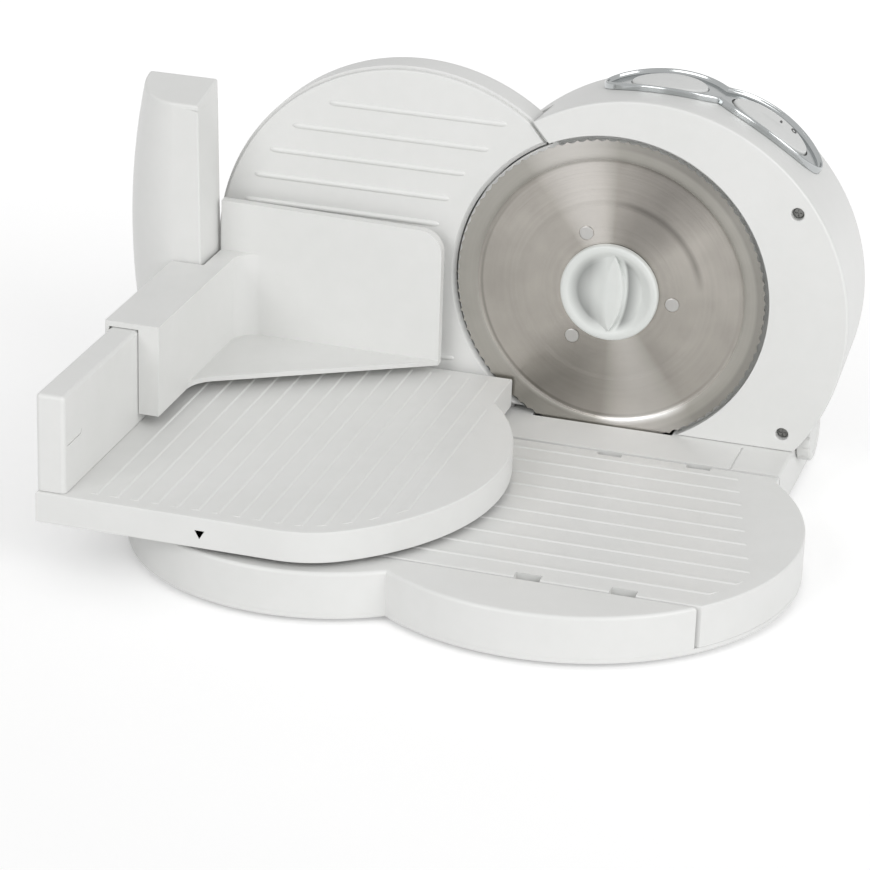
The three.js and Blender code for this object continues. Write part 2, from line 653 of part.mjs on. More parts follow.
// Controls: a bright bezel with two oval dishes, a safety button and a power rocker, each over its switch
const bezelParts = [safetyAngle, powerAngle].map((angle) => (
  rimPiece(angle, bezel.halfLength, bezel.halfWidth, gap, bezel.height)
));
const dishLength = bezel.halfLength - bezel.rim;
const dishWidth = bezel.halfWidth - bezel.rim;
const bezelCuts = [safetyAngle, powerAngle].flatMap((angle) => [
  rimPiece(angle, dishLength, dishWidth, gap + bezel.floor, bezel.height + past),
  rimOval(angle, windowLength, windowWidth),
]);
piece('control_bezel', cut(join(...bezelParts), ...bezelCuts), chrome);

const controlPiece = (angle) => (
  rimPiece(angle, insert.halfLength, insert.halfWidth, -insert.below, insert.proud)
);
const draft = (housing.frontRadius - housing.backRadius) / (housing.depth - housing.fillet - shellFront);
const pinHalf = windowWidth + rockerPin.reach;
const pinReach = (extra) => [controlY - pinHalf - extra, controlY + pinHalf + extra];
const rimRadii = pinReach(0).map((y) => housing.frontRadius - draft * (y - shellFront));
const pivotRadius = Math.min(...rimRadii) - rockerPin.below;
const pivotPlace = [
  housing.x + pivotRadius * Math.cos(radians(powerAngle)),
  housingZ + pivotRadius * Math.sin(radians(powerAngle)),
];
const peg = rimPiece(safetyAngle, buttonPeg.radius, buttonPeg.radius, -buttonPeg.depth, past - insert.below);
piece('safety_button', controlPiece(safetyAngle).add(peg), white);
const pivotPin = bar('y', pivotPlace, rockerPin.radius, pinReach(0));
piece('power_rocker', controlPiece(powerAngle).add(pivotPin), white);

function switchBody(angle) {
  const top = -wall - gap;
  const outer = rimPiece(
    angle, windowLength + switchCup.endMargin, windowWidth + switchCup.sideMargin, top - switchCup.depth, top,
  );
  const floor = top - switchCup.depth + switchCup.floor;
  return outer.subtract(rimPiece(angle, windowLength, windowWidth, floor, past));
}
const pegHole = rimOval(safetyAngle, buttonPeg.radius + gap, buttonPeg.radius + gap);
const pinHole = bar('y', pivotPlace, rockerPin.radius + gap, pinReach(wall));
piece('safety_switch', switchBody(safetyAngle).subtract(pegHole), dark);
piece('power_switch', switchBody(powerAngle).subtract(pinHole), dark);

// Motor bracket: a steel sheet with three ears that carry the motor and the worm
const earFront = wormY - earReach;
const wormLeft = -wormLength / 2;
const ears = [
  [wormLeft - wormBush.length - bracketSheet, earHalf.worm],
  [motorStart - bracketSheet - gap, earHalf.motor],
  [motorEnd + gap, earHalf.motor],
];
function motorBracket() {
  const sheet = block(
    [ears[0][0], motorEnd + bracketSheet + gap],
    [bracketY, bracketY + bracketSheet],
    [wormZ - motorRadius, bladeZ + bracketTop],
  );
  let body = sheet;
  for (const [x, half] of ears) {
    body = body.add(block([x, x + bracketSheet], [earFront, bracketY + past], [wormZ - half, wormZ + half]));
    const hole = x < 0 ? wormBush.radius - past : shaftRadius + runningGap;
    body = body.subtract(bar('x', [wormY, wormZ], hole + gap, [x - past, x + bracketSheet + past]));
  }
  const reach = [bracketY - past, bracketY + bracketSheet + past];
  body = body.subtract(bar('y', [0, bladeZ], axleRadius + gap, reach));
  for (const [x, up] of pillarPlaces) {
    body = body.subtract(bar('y', [x, bladeZ + up], faceScrew.shank + gap, reach));
  }
  return body;
}
piece('motor_bracket', motorBracket(), steel);

pillarPlaces.forEach(([x, up], i) => {
  const headReach = [bracketY - gap - faceScrew.headHeight, bracketY - gap];
  const head = bar('y', [x, bladeZ + up], faceScrew.head, headReach);
  const tip = bracketY + bracketSheet + faceScrew.length / 3;
  const shank = bar('y', [x, bladeZ + up], faceScrew.shank, [bracketY - past, tip]);
  piece(`bracket_screw_${i + 1}`, head.add(shank), steel);
});

const motorCan = cut(
  bar('x', [wormY, wormZ], motorRadius, [motorStart, motorEnd], roundSteps),
  bar('x', [wormY, wormZ], shaftRadius + gap, [motorStart - past, motorEnd + past]),
);
piece('motor_can', motorCan, dark);

const shaftLeft = wormLeft - wormBush.length - bracketSheet;
const fanStart = motorEnd + gap + bracketSheet + past;
piece('motor_shaft', bar('x', [wormY, wormZ], shaftRadius, [shaftLeft, fanStart + fan.width + past]), steel);

// Worm: a core with one thread wound round it
class ThreadLine extends THREE.Curve {
  getPoint(t, target = new THREE.Vector3()) {
    const a = t * wormTurns * Math.PI * 2;
    const x = (t - 0.5) * (wormLength - 2 * wormCore);
    return target.set(x, wormY + wormCore * Math.cos(a), wormZ + wormCore * Math.sin(a));
  }
}
const threadSection = new THREE.Shape();
threadSection.absarc(0, 0, wormRadius - wormCore, 0, Math.PI * 2);
const thread = new THREE.ExtrudeGeometry(threadSection, {
  steps: wormTurns * 8, extrudePath: new ThreadLine(), bevelEnabled: false, curveSegments: 3,
});
const worm = cut(
  bar('x', [wormY, wormZ], wormCore, [wormLeft, -wormLeft]).add(solid(thread)),
  bar('x', [wormY, wormZ], shaftRadius + gap / 2, [wormLeft - past, past - wormLeft]),
);
piece('motor_worm', worm, steel);

const bushEnd = wormLeft - runningGap;
piece('worm_bush', cut(
  bar('x', [wormY, wormZ], wormBush.radius, [ears[0][0] + bracketSheet + gap, bushEnd])
    .add(bar('x', [wormY, wormZ], wormBush.radius - past, [ears[0][0], bushEnd])),
  bar('x', [wormY, wormZ], shaftRadius + gap, [ears[0][0] - past, bushEnd + past]),
), bronze);

let fanWheel = bar('x', [wormY, wormZ], fan.hub, [fanStart, fanStart + fan.width]);
for (let i = 0; i < fan.blades; i += 1) {
  const vane = new THREE.BoxGeometry(fan.width, fan.bladeThickness, fan.radius - fan.hub / 2);
  vane.translate(fanStart + fan.width / 2, 0, (fan.radius + fan.hub / 2) / 2);
  vane.rotateX((i / fan.blades) * Math.PI * 2).translate(0, wormY, wormZ);
  fanWheel = fanWheel.add(solid(vane));
}
const fanReach = [fanStart - past, fanStart + fan.width + past];
piece('cooling_fan', fanWheel.subtract(bar('x', [wormY, wormZ], shaftRadius + gap, fanReach)), dark);

// Blade: a dished disc with a scalloped, bevelled edge
const rivetPlaces = Array.from({ length: rivet.count }, (_, i) => {
  const a = radians(rivet.turn + (i * 360) / rivet.count);
  return [rivet.circle * Math.cos(a), bladeZ + rivet.circle * Math.sin(a)];
});
const bevelRadius = bladeRadius - bevelWidth;
const bladeBack = bladeDish + bladeThickness;
function bladePiece() {
  const dish = turned([
    [bladeBore, bladeDish],
    [bevelRadius, bladeDish],
    [bladeRadius, 0],
    [bladeRadius, bladeEdge],
    [bevelRadius, bladeBack],
    [bladeBore, bladeBack],
    [bladeBore, bladeDish],
  ], [0, bladeZ], fineSteps);
  const points = [];
  const perScallop = 2;
  for (let i = 0; i < scallop.count * perScallop; i += 1) {
    const a = (i / (scallop.count * perScallop)) * Math.PI * 2;
    const r = i % perScallop === 0 ? bladeRadius - scallop.depth : bladeRadius;
    points.push([r * Math.cos(a), bladeZ + r * Math.sin(a)]);
  }
  const rim = prism('y', polygon(points), [-past, bladeBack + past]);
  const holeReach = [-past, bladeBack + past];
  const holes = rivetPlaces.map((place) => bar('y', place, rivet.radius + gap / 2, holeReach));
  return cut(dish.intersect(rim), ...holes);
}
piece('slicing_blade', bladePiece(), steel);

// Drive gear: a flange riveted to the blade, a hub and a toothed wheel
const flangeFront = bladeBack + gap / 2;
const flangeBack = flangeFront + gearFlange.thickness;
const gearBack = gearWheel.front + gearWheel.width;
const axleFront = flangeFront + knobStem.length + runningGap;
function driveGear() {
  const wheelOutline = toothedWheel(gearWheel.teeth, gearWheel.root, gearWheel.tip);
  const wheelShape = polygon(wheelOutline.map(([u, v]) => [u, v + bladeZ]));
  const wheel = prism('y', wheelShape, [gearWheel.front, gearBack]);
  const body = join(
    bar('y', [0, bladeZ], gearFlange.radius, [flangeFront, flangeBack], roundSteps),
    bar('y', [0, bladeZ], gearHubRadius, [flangeFront, gearBack], roundSteps),
    wheel,
  );
  const holeReach = [0, gearWheel.front - wall];
  const holes = rivetPlaces.map((place) => bar('y', place, rivet.radius + gap / 2, holeReach));
  return cut(
    body,
    bar('y', [0, bladeZ], axleRadius + gap, [flangeFront - past, gearBack + past]),
    bar('y', [0, bladeZ], knobStem.radius + gap, [flangeFront - past, axleFront]),
    ...holes,
  );
}
piece('drive_gear', driveGear(), nylon);

rivetPlaces.forEach((place, i) => {
  const front = bladeDish - gap / 2;
  const back = flangeBack + gap / 2;
  piece(`blade_rivet_${i + 1}`, join(
    bar('y', place, rivet.head, [front - rivet.headHeight, front]),
    bar('y', place, rivet.radius, [front - rivet.headHeight, back + rivet.headHeight]),
    bar('y', place, rivet.head, [back, back + rivet.headHeight]),
  ), steel);
});

const axleBack = bracketY + bracketSheet;
piece('blade_axle', join(
  bar('y', [0, bladeZ], axleRadius, [axleFront + runningGap, axleBack + gap + axleFlange.thickness]),
  bar('y', [0, bladeZ], axleFlange.radius, [axleBack + gap, axleBack + gap + axleFlange.thickness]),
), steel);

// Lock knob of the blade: a shallow cup with a leaf-shaped grip
function lockKnob() {
  const back = bladeDish - gap;
  const front = back - bladeKnob.height;
  const cup = turned([
    [0, back - bladeKnob.floor],
    [bladeKnob.radius - bladeKnob.rim - bladeKnob.height / 2, back - bladeKnob.floor],
    [bladeKnob.radius - bladeKnob.rim, front],
    [bladeKnob.radius - bladeKnob.rim / 3, front],
    [bladeKnob.radius, front + bladeKnob.rim / 3],
    [bladeKnob.radius, back],
    [0, back],
  ], [0, bladeZ], roundSteps);
  const half = bladeKnob.finLength / 2;
  const fin = new THREE.Shape();
  fin.moveTo(0, bladeZ - half);
  fin.quadraticCurveTo(bladeKnob.finWidth, bladeZ, 0, bladeZ + half);
  fin.quadraticCurveTo(-bladeKnob.finWidth, bladeZ, 0, bladeZ - half);
  const grip = prism('y', fin, [front - gap, back - bladeKnob.floor / 2], smallSteps);
  const stem = bar('y', [0, bladeZ], knobStem.radius, [back - past, flangeFront + knobStem.length]);
  return join(cup, grip, stem);
}
piece('blade_knob', lockKnob(), white);

// Thickness gauge: a ribbed front plate on a shell whose leg reaches down to the slide bar
const gaugePlateBack = gauge.front + gauge.plate;
let gaugePlate = gaugeRegion(-gauge.faceStep, [gauge.front, gaugePlateBack]);
const ribField = gaugeRegion(-gaugeRib.inset, [gauge.front - gaugeRib.height, gauge.front + past]);
for (let i = 0; i < gaugeRib.count; i += 1) {
  const z = gaugeZ + gaugeRib.top - i * gaugeRib.pitch;
  const rib = block(
    [gauge.x - gauge.rimRadius, 0],
    [gauge.front - gaugeRib.height, gauge.front + past],
    [z - gaugeRib.width / 2, z + gaugeRib.width / 2],
  );
  gaugePlate = gaugePlate.add(rib.intersect(ribField));
}
piece('gauge_front_plate', gaugePlate, white);

const gaugeShell = cut(
  gaugeRegion(0, [gaugeShellFront, gaugeBack]),
  gaugeRegion(-wall, [gaugeShellFront - past, gaugeBack - wall]),
);
const leg = block(
  [gaugeLeg.left, gaugeLeg.right], [gaugeLeg.front, gaugeLeg.back], [barTop + gap, gaugeBottom + wall],
);
piece('gauge_rear_shell', gaugeShell.add(leg), white);

const rodHoles = rodPlaces.map((x) => (
  bar('y', [x, rodZ], rodRadius + gap, [gaugeLeg.front - past, gaugeLeg.back + past])
));
piece('gauge_slide_bar', cut(
  block([gaugeLeg.left, slideBar.right], [gaugeLeg.front, gaugeLeg.back], [barBottom, barTop]),
  ...rodHoles,
), steel);

rodPlaces.forEach((x, i) => {
  const reach = [rodHolder.front, rodHolder.back + rodHolder.thickness];
  piece(`guide_rod_${i + 1}`, bar('y', [x, rodZ], rodRadius, reach), steel);
});

// Rack on the slide bar, under the pinion
const rackTop = knobZ - pinion.tip - gap;
const rackAcross = [pinion.x, pinion.x + pinion.width];
const toothPitch = (2 * Math.PI * pinion.pitch) / pinion.teeth;
const rackFront = knob.y - gaugeTravel - toothPitch;
let rackBody = join(
  block(rackAcross, [gaugeLeg.front, gaugeLeg.back], [barTop + gap, rackTop - rack.toothHeight]),
  block(rackAcross, [rackFront, knob.y + toothPitch], [rackTop - rack.height, rackTop - rack.toothHeight]),
);
const rackTeeth = Math.floor((gaugeTravel + 2 * toothPitch) / toothPitch);
for (let i = 0; i < rackTeeth; i += 1) {
  const y = rackFront + i * toothPitch;
  const low = rackTop - rack.toothHeight - past;
  const middle = y + toothPitch / 2;
  const tooth = polygon([
    [middle - toothFoot * toothPitch, low],
    [middle + toothFoot * toothPitch, low],
    [middle + toothTip * toothPitch, rackTop],
    [middle - toothTip * toothPitch, rackTop],
  ]);
  rackBody = rackBody.add(prism('x', tooth, rackAcross));
}
piece('gauge_rack', rackBody, nylon);

const pinionOutline = toothedWheel(pinion.teeth, pinion.root, pinion.tip)
  .map(([u, v]) => [u + knob.y, v + knobZ]);
const boreReach = [pinion.x - past, pinion.x + pinion.width + past];
piece('knob_pinion', cut(
  prism('x', polygon(pinionOutline), rackAcross),
  bar('x', [knob.y, knobZ], knobShaftRadius + gap / 2, boreReach),
), nylon);

const knobStart = rearBlock.right + runningGap;
const knobBore = knobStart + knob.bore;
piece('knob_shaft', bar('x', [knob.y, knobZ], knobShaftRadius, [pinion.x - past, knobBore - gap]), steel);

function thicknessKnob() {
  let body = bar('x', [knob.y, knobZ], knob.radius, [knobStart, knobStart + knob.width], roundSteps);
  for (let i = 0; i < knobFlutes.count; i += 1) {
    const a = ((i + 0.5) / knobFlutes.count) * Math.PI * 2;
    const place = [knob.y + knob.radius * Math.cos(a), knobZ + knob.radius * Math.sin(a)];
    const reach = [knobStart + wall, knobStart + knob.width + past];
    body = body.subtract(bar('x', place, knobFlutes.radius, reach, cornerSteps * 2));
  }
  return body.subtract(bar('x', [knob.y, knobZ], knobShaftRadius + gap / 2, [knobStart - past, knobBore]));
}
piece('thickness_knob', thicknessKnob(), white);

// Carriage table: straight in front, round at its right end, with a tab beside the blade
function tableOutline(inset) {
  const shape = new THREE.Shape();
  const r = table.endRadius - inset;
  const front = table.front + inset;
  const tab = table.tab - inset;
  const blend = tableBlend - inset;
  const drop = table.endY - front - blend;
  const blendX = table.endX + Math.sqrt((r - blend) ** 2 - drop ** 2);
  const blendTurn = -Math.asin(drop / (r - blend));
  const tabTurn = Math.acos((tab - table.endX) / r);
  shape.moveTo(table.left + inset, front);
  shape.lineTo(blendX, front);
  shape.absarc(blendX, front + blend, blend, -Math.PI / 2, blendTurn, false);
  shape.absarc(table.endX, table.endY, r, blendTurn, tabTurn, false);
  shape.lineTo(tab, table.rear - inset);
  shape.lineTo(table.left + inset, table.rear - inset);
  return shape;
}

// One guide of the carriage: a runner on the base and two hooks in a groove, towards -1 or +1 in y
function carriageGuide(grooveY, side) {
  const across = (from, to) => [grooveY + side * from, grooveY + side * to].sort((a, b) => a - b);
  const rib = block(
    [runner.from, runner.to],
    across(runner.offset, runner.offset + runner.thickness),
    [baseTop + gap, tableTop - past],
  );
  const hooks = notchPlaces.map((place) => {
    const x = place - carriageTravel + notch.pitch / 2;
    const along = [x - hook.length / 2, x + hook.length / 2];
    const bridge = [tableBottom - tableSkin / 2, tableBottom + tableSkin];
    const half = hook.thickness / 2;
    return join(
      block(along, across(-half, half), [hookBottom, bridge[1]]),
      block(along, across(-half, runner.offset + past), bridge),
      block(along, across(-half - hook.toe, half), [hookBottom, hookBottom + hook.toeHeight]),
    );
  });
  return join(rib, ...hooks);
}

function carriageTable() {
  let body = cut(
    prism('z', tableOutline(0), [tableBottom, tableTop], smallSteps),
    prism('z', tableOutline(tableSkin), [tableBottom - past, tableTop - tableSkin], smallSteps),
  );
  const ribHeights = [tableTop - past, tableTop + tableRibs.height];
  const ribField = prism('z', tableOutline(tableRibs.inset), ribHeights);
  for (let i = 0; i < tableRibs.count; i += 1) {
    const x = tableRibs.first + i * tableRibs.pitch;
    const rib = block([x, x + tableRibs.width], [table.front, table.rear], ribHeights);
    body = body.add(rib.intersect(ribField));
  }
  return join(body, carriageGuide(frontGrooveY, -1), carriageGuide(rearGrooveY, 1));
}
piece('carriage_table', carriageTable(), white);

// Side wall of the carriage, a hollow moulding closed below by the table
const wallAlong = [sideWall.front, guard.front - gap];
const wallShape = (inset) => roundedRectangle(
  [table.left + inset, wallRight - inset],
  [wallAlong[0] + inset, wallAlong[1] - inset],
  sideWall.edge,
);
const wallBottom = tableTop + gap;
piece('carriage_side_wall', cut(
  prism('z', wallShape(0), [wallBottom, wallTop], cornerSteps / 2),
  prism('z', wallShape(sideWall.skin), [wallBottom - past, wallTop - sideWall.skin], cornerSteps / 2),
), white);

// Thumb guard: bulging to the left, rounded in front, with a sloping top
function guardForm(inset) {
  const low = tableTop + gap - (inset > 0 ? past : 0);
  const right = wallRight - gap * 2 - inset;
  const left = guard.left + inset;
  const face = new THREE.Shape();
  face.moveTo(guard.bottomLeft + inset, low);
  face.lineTo(right, low);
  face.lineTo(guard.topRight - inset, guardTop.back - inset);
  face.lineTo(guard.topLeft + inset, guardTop.back - inset);
  const bulge = 2 * left - (guard.topLeft + guard.bottomLeft) / 2 - inset;
  face.quadraticCurveTo(bulge, (low + guardTop.back) / 2, guard.bottomLeft + inset, low);
  const plan = new THREE.Shape();
  const frontLeft = right - guardFrontWidth + inset;
  plan.moveTo(right, guard.back - inset);
  plan.lineTo(left, guard.back - inset);
  const depth = guard.back - guard.front - 2 * inset;
  plan.absellipse(frontLeft, guard.back - inset, frontLeft - left, depth, Math.PI, Math.PI * 1.5, false);
  plan.lineTo(right, guard.front + inset);
  const side = polygon([
    [guard.front - past, low], [guard.back + past, low],
    [guard.back + past, guardTop.back - inset], [guard.front - past, guardTop.front - inset],
  ]);
  return prism('y', face, [guard.front, guard.back], ovalSteps)
    .intersect(prism('z', plan, [low, guardTop.back], cornerSteps * 2))
    .intersect(prism('x', side, [guard.left - past, wallRight]));
}
piece('thumb_guard', guardForm(0).subtract(guardForm(guardSkin)), white);

// Food pusher: a saddle over the side wall, a plate along the blade and a shelf in the corner
const legLeft = wallRight + runningGap;
const legRight = legLeft + saddle.leg;
const pusherBottom = tableTop + legClear;
const saddleTop = wallTop + runningGap + saddle.top;
const plateFront = pusher.rear - pusher.plate;
function pusherPiece() {
  const leg = block([legLeft, legRight], [pusher.front, plateFront + past], [pusherBottom, saddleTop]);
  const legHollow = block(
    [legLeft + saddle.lip, legRight - saddle.lip],
    [pusher.front + saddle.lip, plateFront - saddle.leg],
    [pusherBottom - past, saddleTop - saddle.top],
  );
  const outer = table.left - runningGap - saddle.lip;
  const along = [pusher.front, saddle.stop];
  const bridge = block([outer, legLeft + past], along, [saddleTop - saddle.top, saddleTop]);
  const lip = block([outer, outer + saddle.lip], along, [saddleTop - saddle.lipDrop, saddleTop]);
  const plate = new THREE.Shape();
  plate.moveTo(legLeft, pusherBottom);
  plate.lineTo(pusher.right, pusherBottom);
  const cornerZ = pusher.top - pusher.drop - pusher.corner;
  plate.lineTo(pusher.right, cornerZ);
  plate.absarc(pusher.right - pusher.corner, cornerZ, pusher.corner, 0, Math.PI / 2, false);
  plate.lineTo(legLeft, pusher.top);
  const fillet = new THREE.Shape();
  fillet.moveTo(legRight - past, plateFront + past);
  const filletX = legRight + pusherFillet;
  fillet.lineTo(filletX, plateFront + past);
  fillet.lineTo(filletX, plateFront);
  fillet.absarc(filletX, plateFront - pusherFillet, pusherFillet, Math.PI / 2, Math.PI, false);
  fillet.lineTo(legRight - past, plateFront - pusherFillet);
  const shelf = polygon([
    [legRight - past, web.reach], [legRight, web.reach],
    [pusher.right, plateFront], [pusher.right, plateFront + past], [legRight - past, plateFront + past],
  ]);
  let body = join(
    leg.subtract(legHollow), bridge, lip,
    prism('y', plate, [plateFront, pusher.rear]),
    prism('z', fillet, [pusherBottom, saddleTop]),
    prism('z', shelf, [pusherBottom, pusherBottom + web.thickness]),
  );
  const middleX = (legRight + pusher.right) / 2;
  const middleZ = (pusherBottom + pusher.top - pusher.drop) / 2;
  for (let row = 0; row < spike.rows; row += 1) {
    for (let column = 0; column < spike.columns; column += 1) {
      const x = middleX + (column - (spike.columns - 1) / 2) * spike.pitchX;
      const z = middleZ + (row - (spike.rows - 1) / 2) * spike.pitchZ;
      const foot = pusher.rear - past;
      const profile = [[0, foot], [spike.radius, foot], [0, pusher.rear + spike.height]];
      body = body.add(turned(profile, [x, z], cornerSteps * 2));
    }
  }
  return body;
}
piece('food_pusher', pusherPiece(), white);

// The origin is the bottom centre of the machine
const bounds = new THREE.Box3().setFromObject(machine);
const centre = bounds.getCenter(new THREE.Vector3());
machine.position.set(-centre.x, -centre.y, -bounds.min.z);

export default machine;
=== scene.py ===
import math
import bmesh
import bpy
from mathutils import Matrix, Vector


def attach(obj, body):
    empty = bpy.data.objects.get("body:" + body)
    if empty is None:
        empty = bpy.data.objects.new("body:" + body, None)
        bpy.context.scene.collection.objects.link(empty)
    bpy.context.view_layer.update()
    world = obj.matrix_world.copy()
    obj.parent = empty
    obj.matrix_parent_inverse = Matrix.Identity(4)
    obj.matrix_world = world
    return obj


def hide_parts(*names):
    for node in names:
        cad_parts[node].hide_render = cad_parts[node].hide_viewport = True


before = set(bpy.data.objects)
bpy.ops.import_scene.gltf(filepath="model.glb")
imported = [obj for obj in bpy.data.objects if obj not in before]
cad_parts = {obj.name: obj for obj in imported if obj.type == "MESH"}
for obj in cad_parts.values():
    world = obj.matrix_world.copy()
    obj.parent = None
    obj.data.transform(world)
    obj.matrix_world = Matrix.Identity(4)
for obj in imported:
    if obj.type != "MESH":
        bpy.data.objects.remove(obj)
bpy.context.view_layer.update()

shift = (75.0, 89.35)  # from the blade's axis to the bottom centre, in millimetres
bladeAxis = (0, 116.6)  # x and z of the blade's axis, in millimetres


def at(x, y, z):  # millimetres from the blade become metres in the frame
    return Vector(((x + shift[0]) / 1000, (y + shift[1]) / 1000, z / 1000))


def spot(item):  # middle of a vertex, edge or face, in millimetres from the blade
    if isinstance(item, bmesh.types.BMVert):
        middle = item.co
    else:
        middle = sum((v.co for v in item.verts), Vector()) / len(item.verts)
    return middle.x * 1000 - shift[0], middle.y * 1000 - shift[1], middle.z * 1000


def polar(centre, radius, degrees):
    turn = math.radians(degrees)
    return centre[0] + radius * math.cos(turn), centre[1] + radius * math.sin(turn)


def past(span, extra):  # a span made longer at both ends
    return span[0] - extra, span[1] + extra


def about(middle, half):  # a span on both sides of a middle
    return middle - half, middle + half


def between(line, side, first, last):  # a span measured from a line, to one side of it
    return sorted((line + side * first, line + side * last))


# tests that choose what is selected
def near(value, place, room=0.05):
    return abs(value - place) < room


def liesAt(**places):  # by place, such as liesAt(x=4, z=20)
    def test(item):
        middle = dict(zip("xyz", spot(item)))
        return all(near(middle[axis], place) for axis, place in places.items())
    return test


def sharp(edge, degrees=60):
    return len(edge.link_faces) == 2 and edge.calc_face_angle(0) > math.radians(degrees)


def sharpAt(degrees=60, **places):
    lies = liesAt(**places)
    return lambda edge: lies(edge) and sharp(edge, degrees)


# small tools: each is one step that is done by hand in Blender
def quiet():  # object mode, nothing selected
    if bpy.context.object and bpy.context.object.mode != "OBJECT":
        bpy.ops.object.mode_set(mode="OBJECT")
    bpy.ops.object.select_all(action="DESELECT")


def take(piece):  # the only selected and active piece
    quiet()
    piece.select_set(True)
    bpy.context.view_layer.objects.active = piece


def drop(piece):
    take(piece)
    bpy.ops.object.delete()


def settle(name):  # puts a new piece's place into its mesh
    piece = bpy.context.object
    piece.name = name
    bpy.ops.object.transform_apply(location=True, rotation=True, scale=True)
    return piece


def change(piece, kind, **settings):  # a modifier is added, set and applied
    take(piece)
    modifier = piece.modifiers.new("change", kind)
    for key, value in settings.items():
        setattr(modifier, key, value)
    bpy.ops.object.modifier_apply(modifier=modifier.name)
    return piece


def block(name, x, y, z):
    quiet()
    low, high = at(x[0], y[0], z[0]), at(x[1], y[1], z[1])
    bpy.ops.mesh.primitive_cube_add(size=1, location=(low + high) / 2, scale=high - low)
    return settle(name)


axisTurns = {"X": (0, math.pi / 2, 0), "Y": (math.pi / 2, 0, 0), "Z": (0, 0, 0)}


def onAxis(axis, centre, place):  # a point on the line along an axis through the centre
    a, b = centre
    return at(*{"X": (place, a, b), "Y": (a, place, b), "Z": (a, b, place)}[axis])


def drum(name, axis, centre, radius, span, sides=256):
    quiet()
    bpy.ops.mesh.primitive_cylinder_add(
        vertices=sides, radius=radius / 1000, depth=(span[1] - span[0]) / 1000,
        location=onAxis(axis, centre, (span[0] + span[1]) / 2), rotation=axisTurns[axis])
    return settle(name)


def pick(piece, kind, test):  # edit mode, with what passes the test selected
    take(piece)
    bpy.ops.object.mode_set(mode="EDIT")
    bpy.ops.mesh.select_mode(type=kind)
    bpy.ops.mesh.select_all(action="DESELECT")
    mesh = bmesh.from_edit_mesh(piece.data)
    mesh.normal_update()
    items = {"VERT": mesh.verts, "EDGE": mesh.edges, "FACE": mesh.faces}[kind]
    chosen = [item for item in items if test(item)]
    for item in chosen:
        item.select_set(True)
    mesh.select_flush_mode()
    bmesh.update_edit_mesh(piece.data)
    return len(chosen)


def pickAll(piece):
    pick(piece, "FACE", lambda face: True)


def leave():
    bpy.ops.object.mode_set(mode="OBJECT")


def combine(piece, tool, how):
    change(piece, "BOOLEAN", operation=how, solver="EXACT", object=tool)
    drop(tool)
    return piece


def fuse(piece, *tools):
    for tool in tools:
        combine(piece, tool, "UNION")
    return piece


def carve(piece, *tools):
    for tool in tools:
        combine(piece, tool, "DIFFERENCE")
    return piece


def within(piece, tool):
    return combine(piece, tool, "INTERSECT")


def cut(piece, point, normal):  # cuts away what lies on the normal's side
    pickAll(piece)
    bpy.ops.mesh.bisect(plane_co=at(*point), plane_no=normal, use_fill=True, clear_outer=True)
    leave()
    return piece


sideNormals = {"left": (-1, 0, 0), "right": (1, 0, 0), "front": (0, -1, 0), "back": (0, 1, 0),
               "below": (0, 0, -1), "above": (0, 0, 1)}


def trim(piece, **places):  # flat cuts: left=4 cuts away what lies to the left of x = 4
    for side, place in places.items():
        normal = sideNormals[side]
        cut(piece, [place * abs(part) for part in normal], normal)
    return piece


def tidy(piece, room=0.05, dissolve=True):  # merges points that lie together, and flat neighbours
    pickAll(piece)
    bpy.ops.mesh.remove_doubles(threshold=room / 1000)
    if dissolve:
        bpy.ops.mesh.dissolve_limited(angle_limit=math.radians(0.4))
    bpy.ops.mesh.normals_make_consistent(inside=False)
    leave()
    return piece


def level(piece, heights, room=0.5):  # flat below and above, with no short edge left in its outline
    trim(piece, below=heights[0], above=heights[1])
    return tidy(piece, room, dissolve=False)


def bevelEdges(piece, width, steps, test):
    if pick(piece, "EDGE", test):
        bpy.ops.mesh.bevel(offset=width / 1000, segments=steps, affect="EDGES", clamp_overlap=False)
    leave()
    return piece


def smooth(piece, degrees=34):
    take(piece)
    bpy.ops.object.shade_smooth_by_angle(angle=math.radians(degrees))
    return change(piece, "WEIGHTED_NORMAL", keep_sharp=True)


def twin(piece, name, move):  # a copy with its own mesh, moved in millimetres
    take(piece)
    bpy.ops.object.duplicate(linked=False)
    bpy.ops.transform.translate(value=Vector(move) / 1000)
    return settle(name)


def repeat(first, places):  # the first piece, then a copy of it for each further place
    yield first
    for number, place in enumerate(places[1:], 2):
        yield twin(first, first.name[:-1] + str(number), [a - b for a, b in zip(place, places[0])])


def gather(first, others):  # joins pieces into one mesh
    quiet()
    for piece in (first, *others):
        piece.select_set(True)
    bpy.context.view_layer.objects.active = first
    bpy.ops.object.join()
    return first


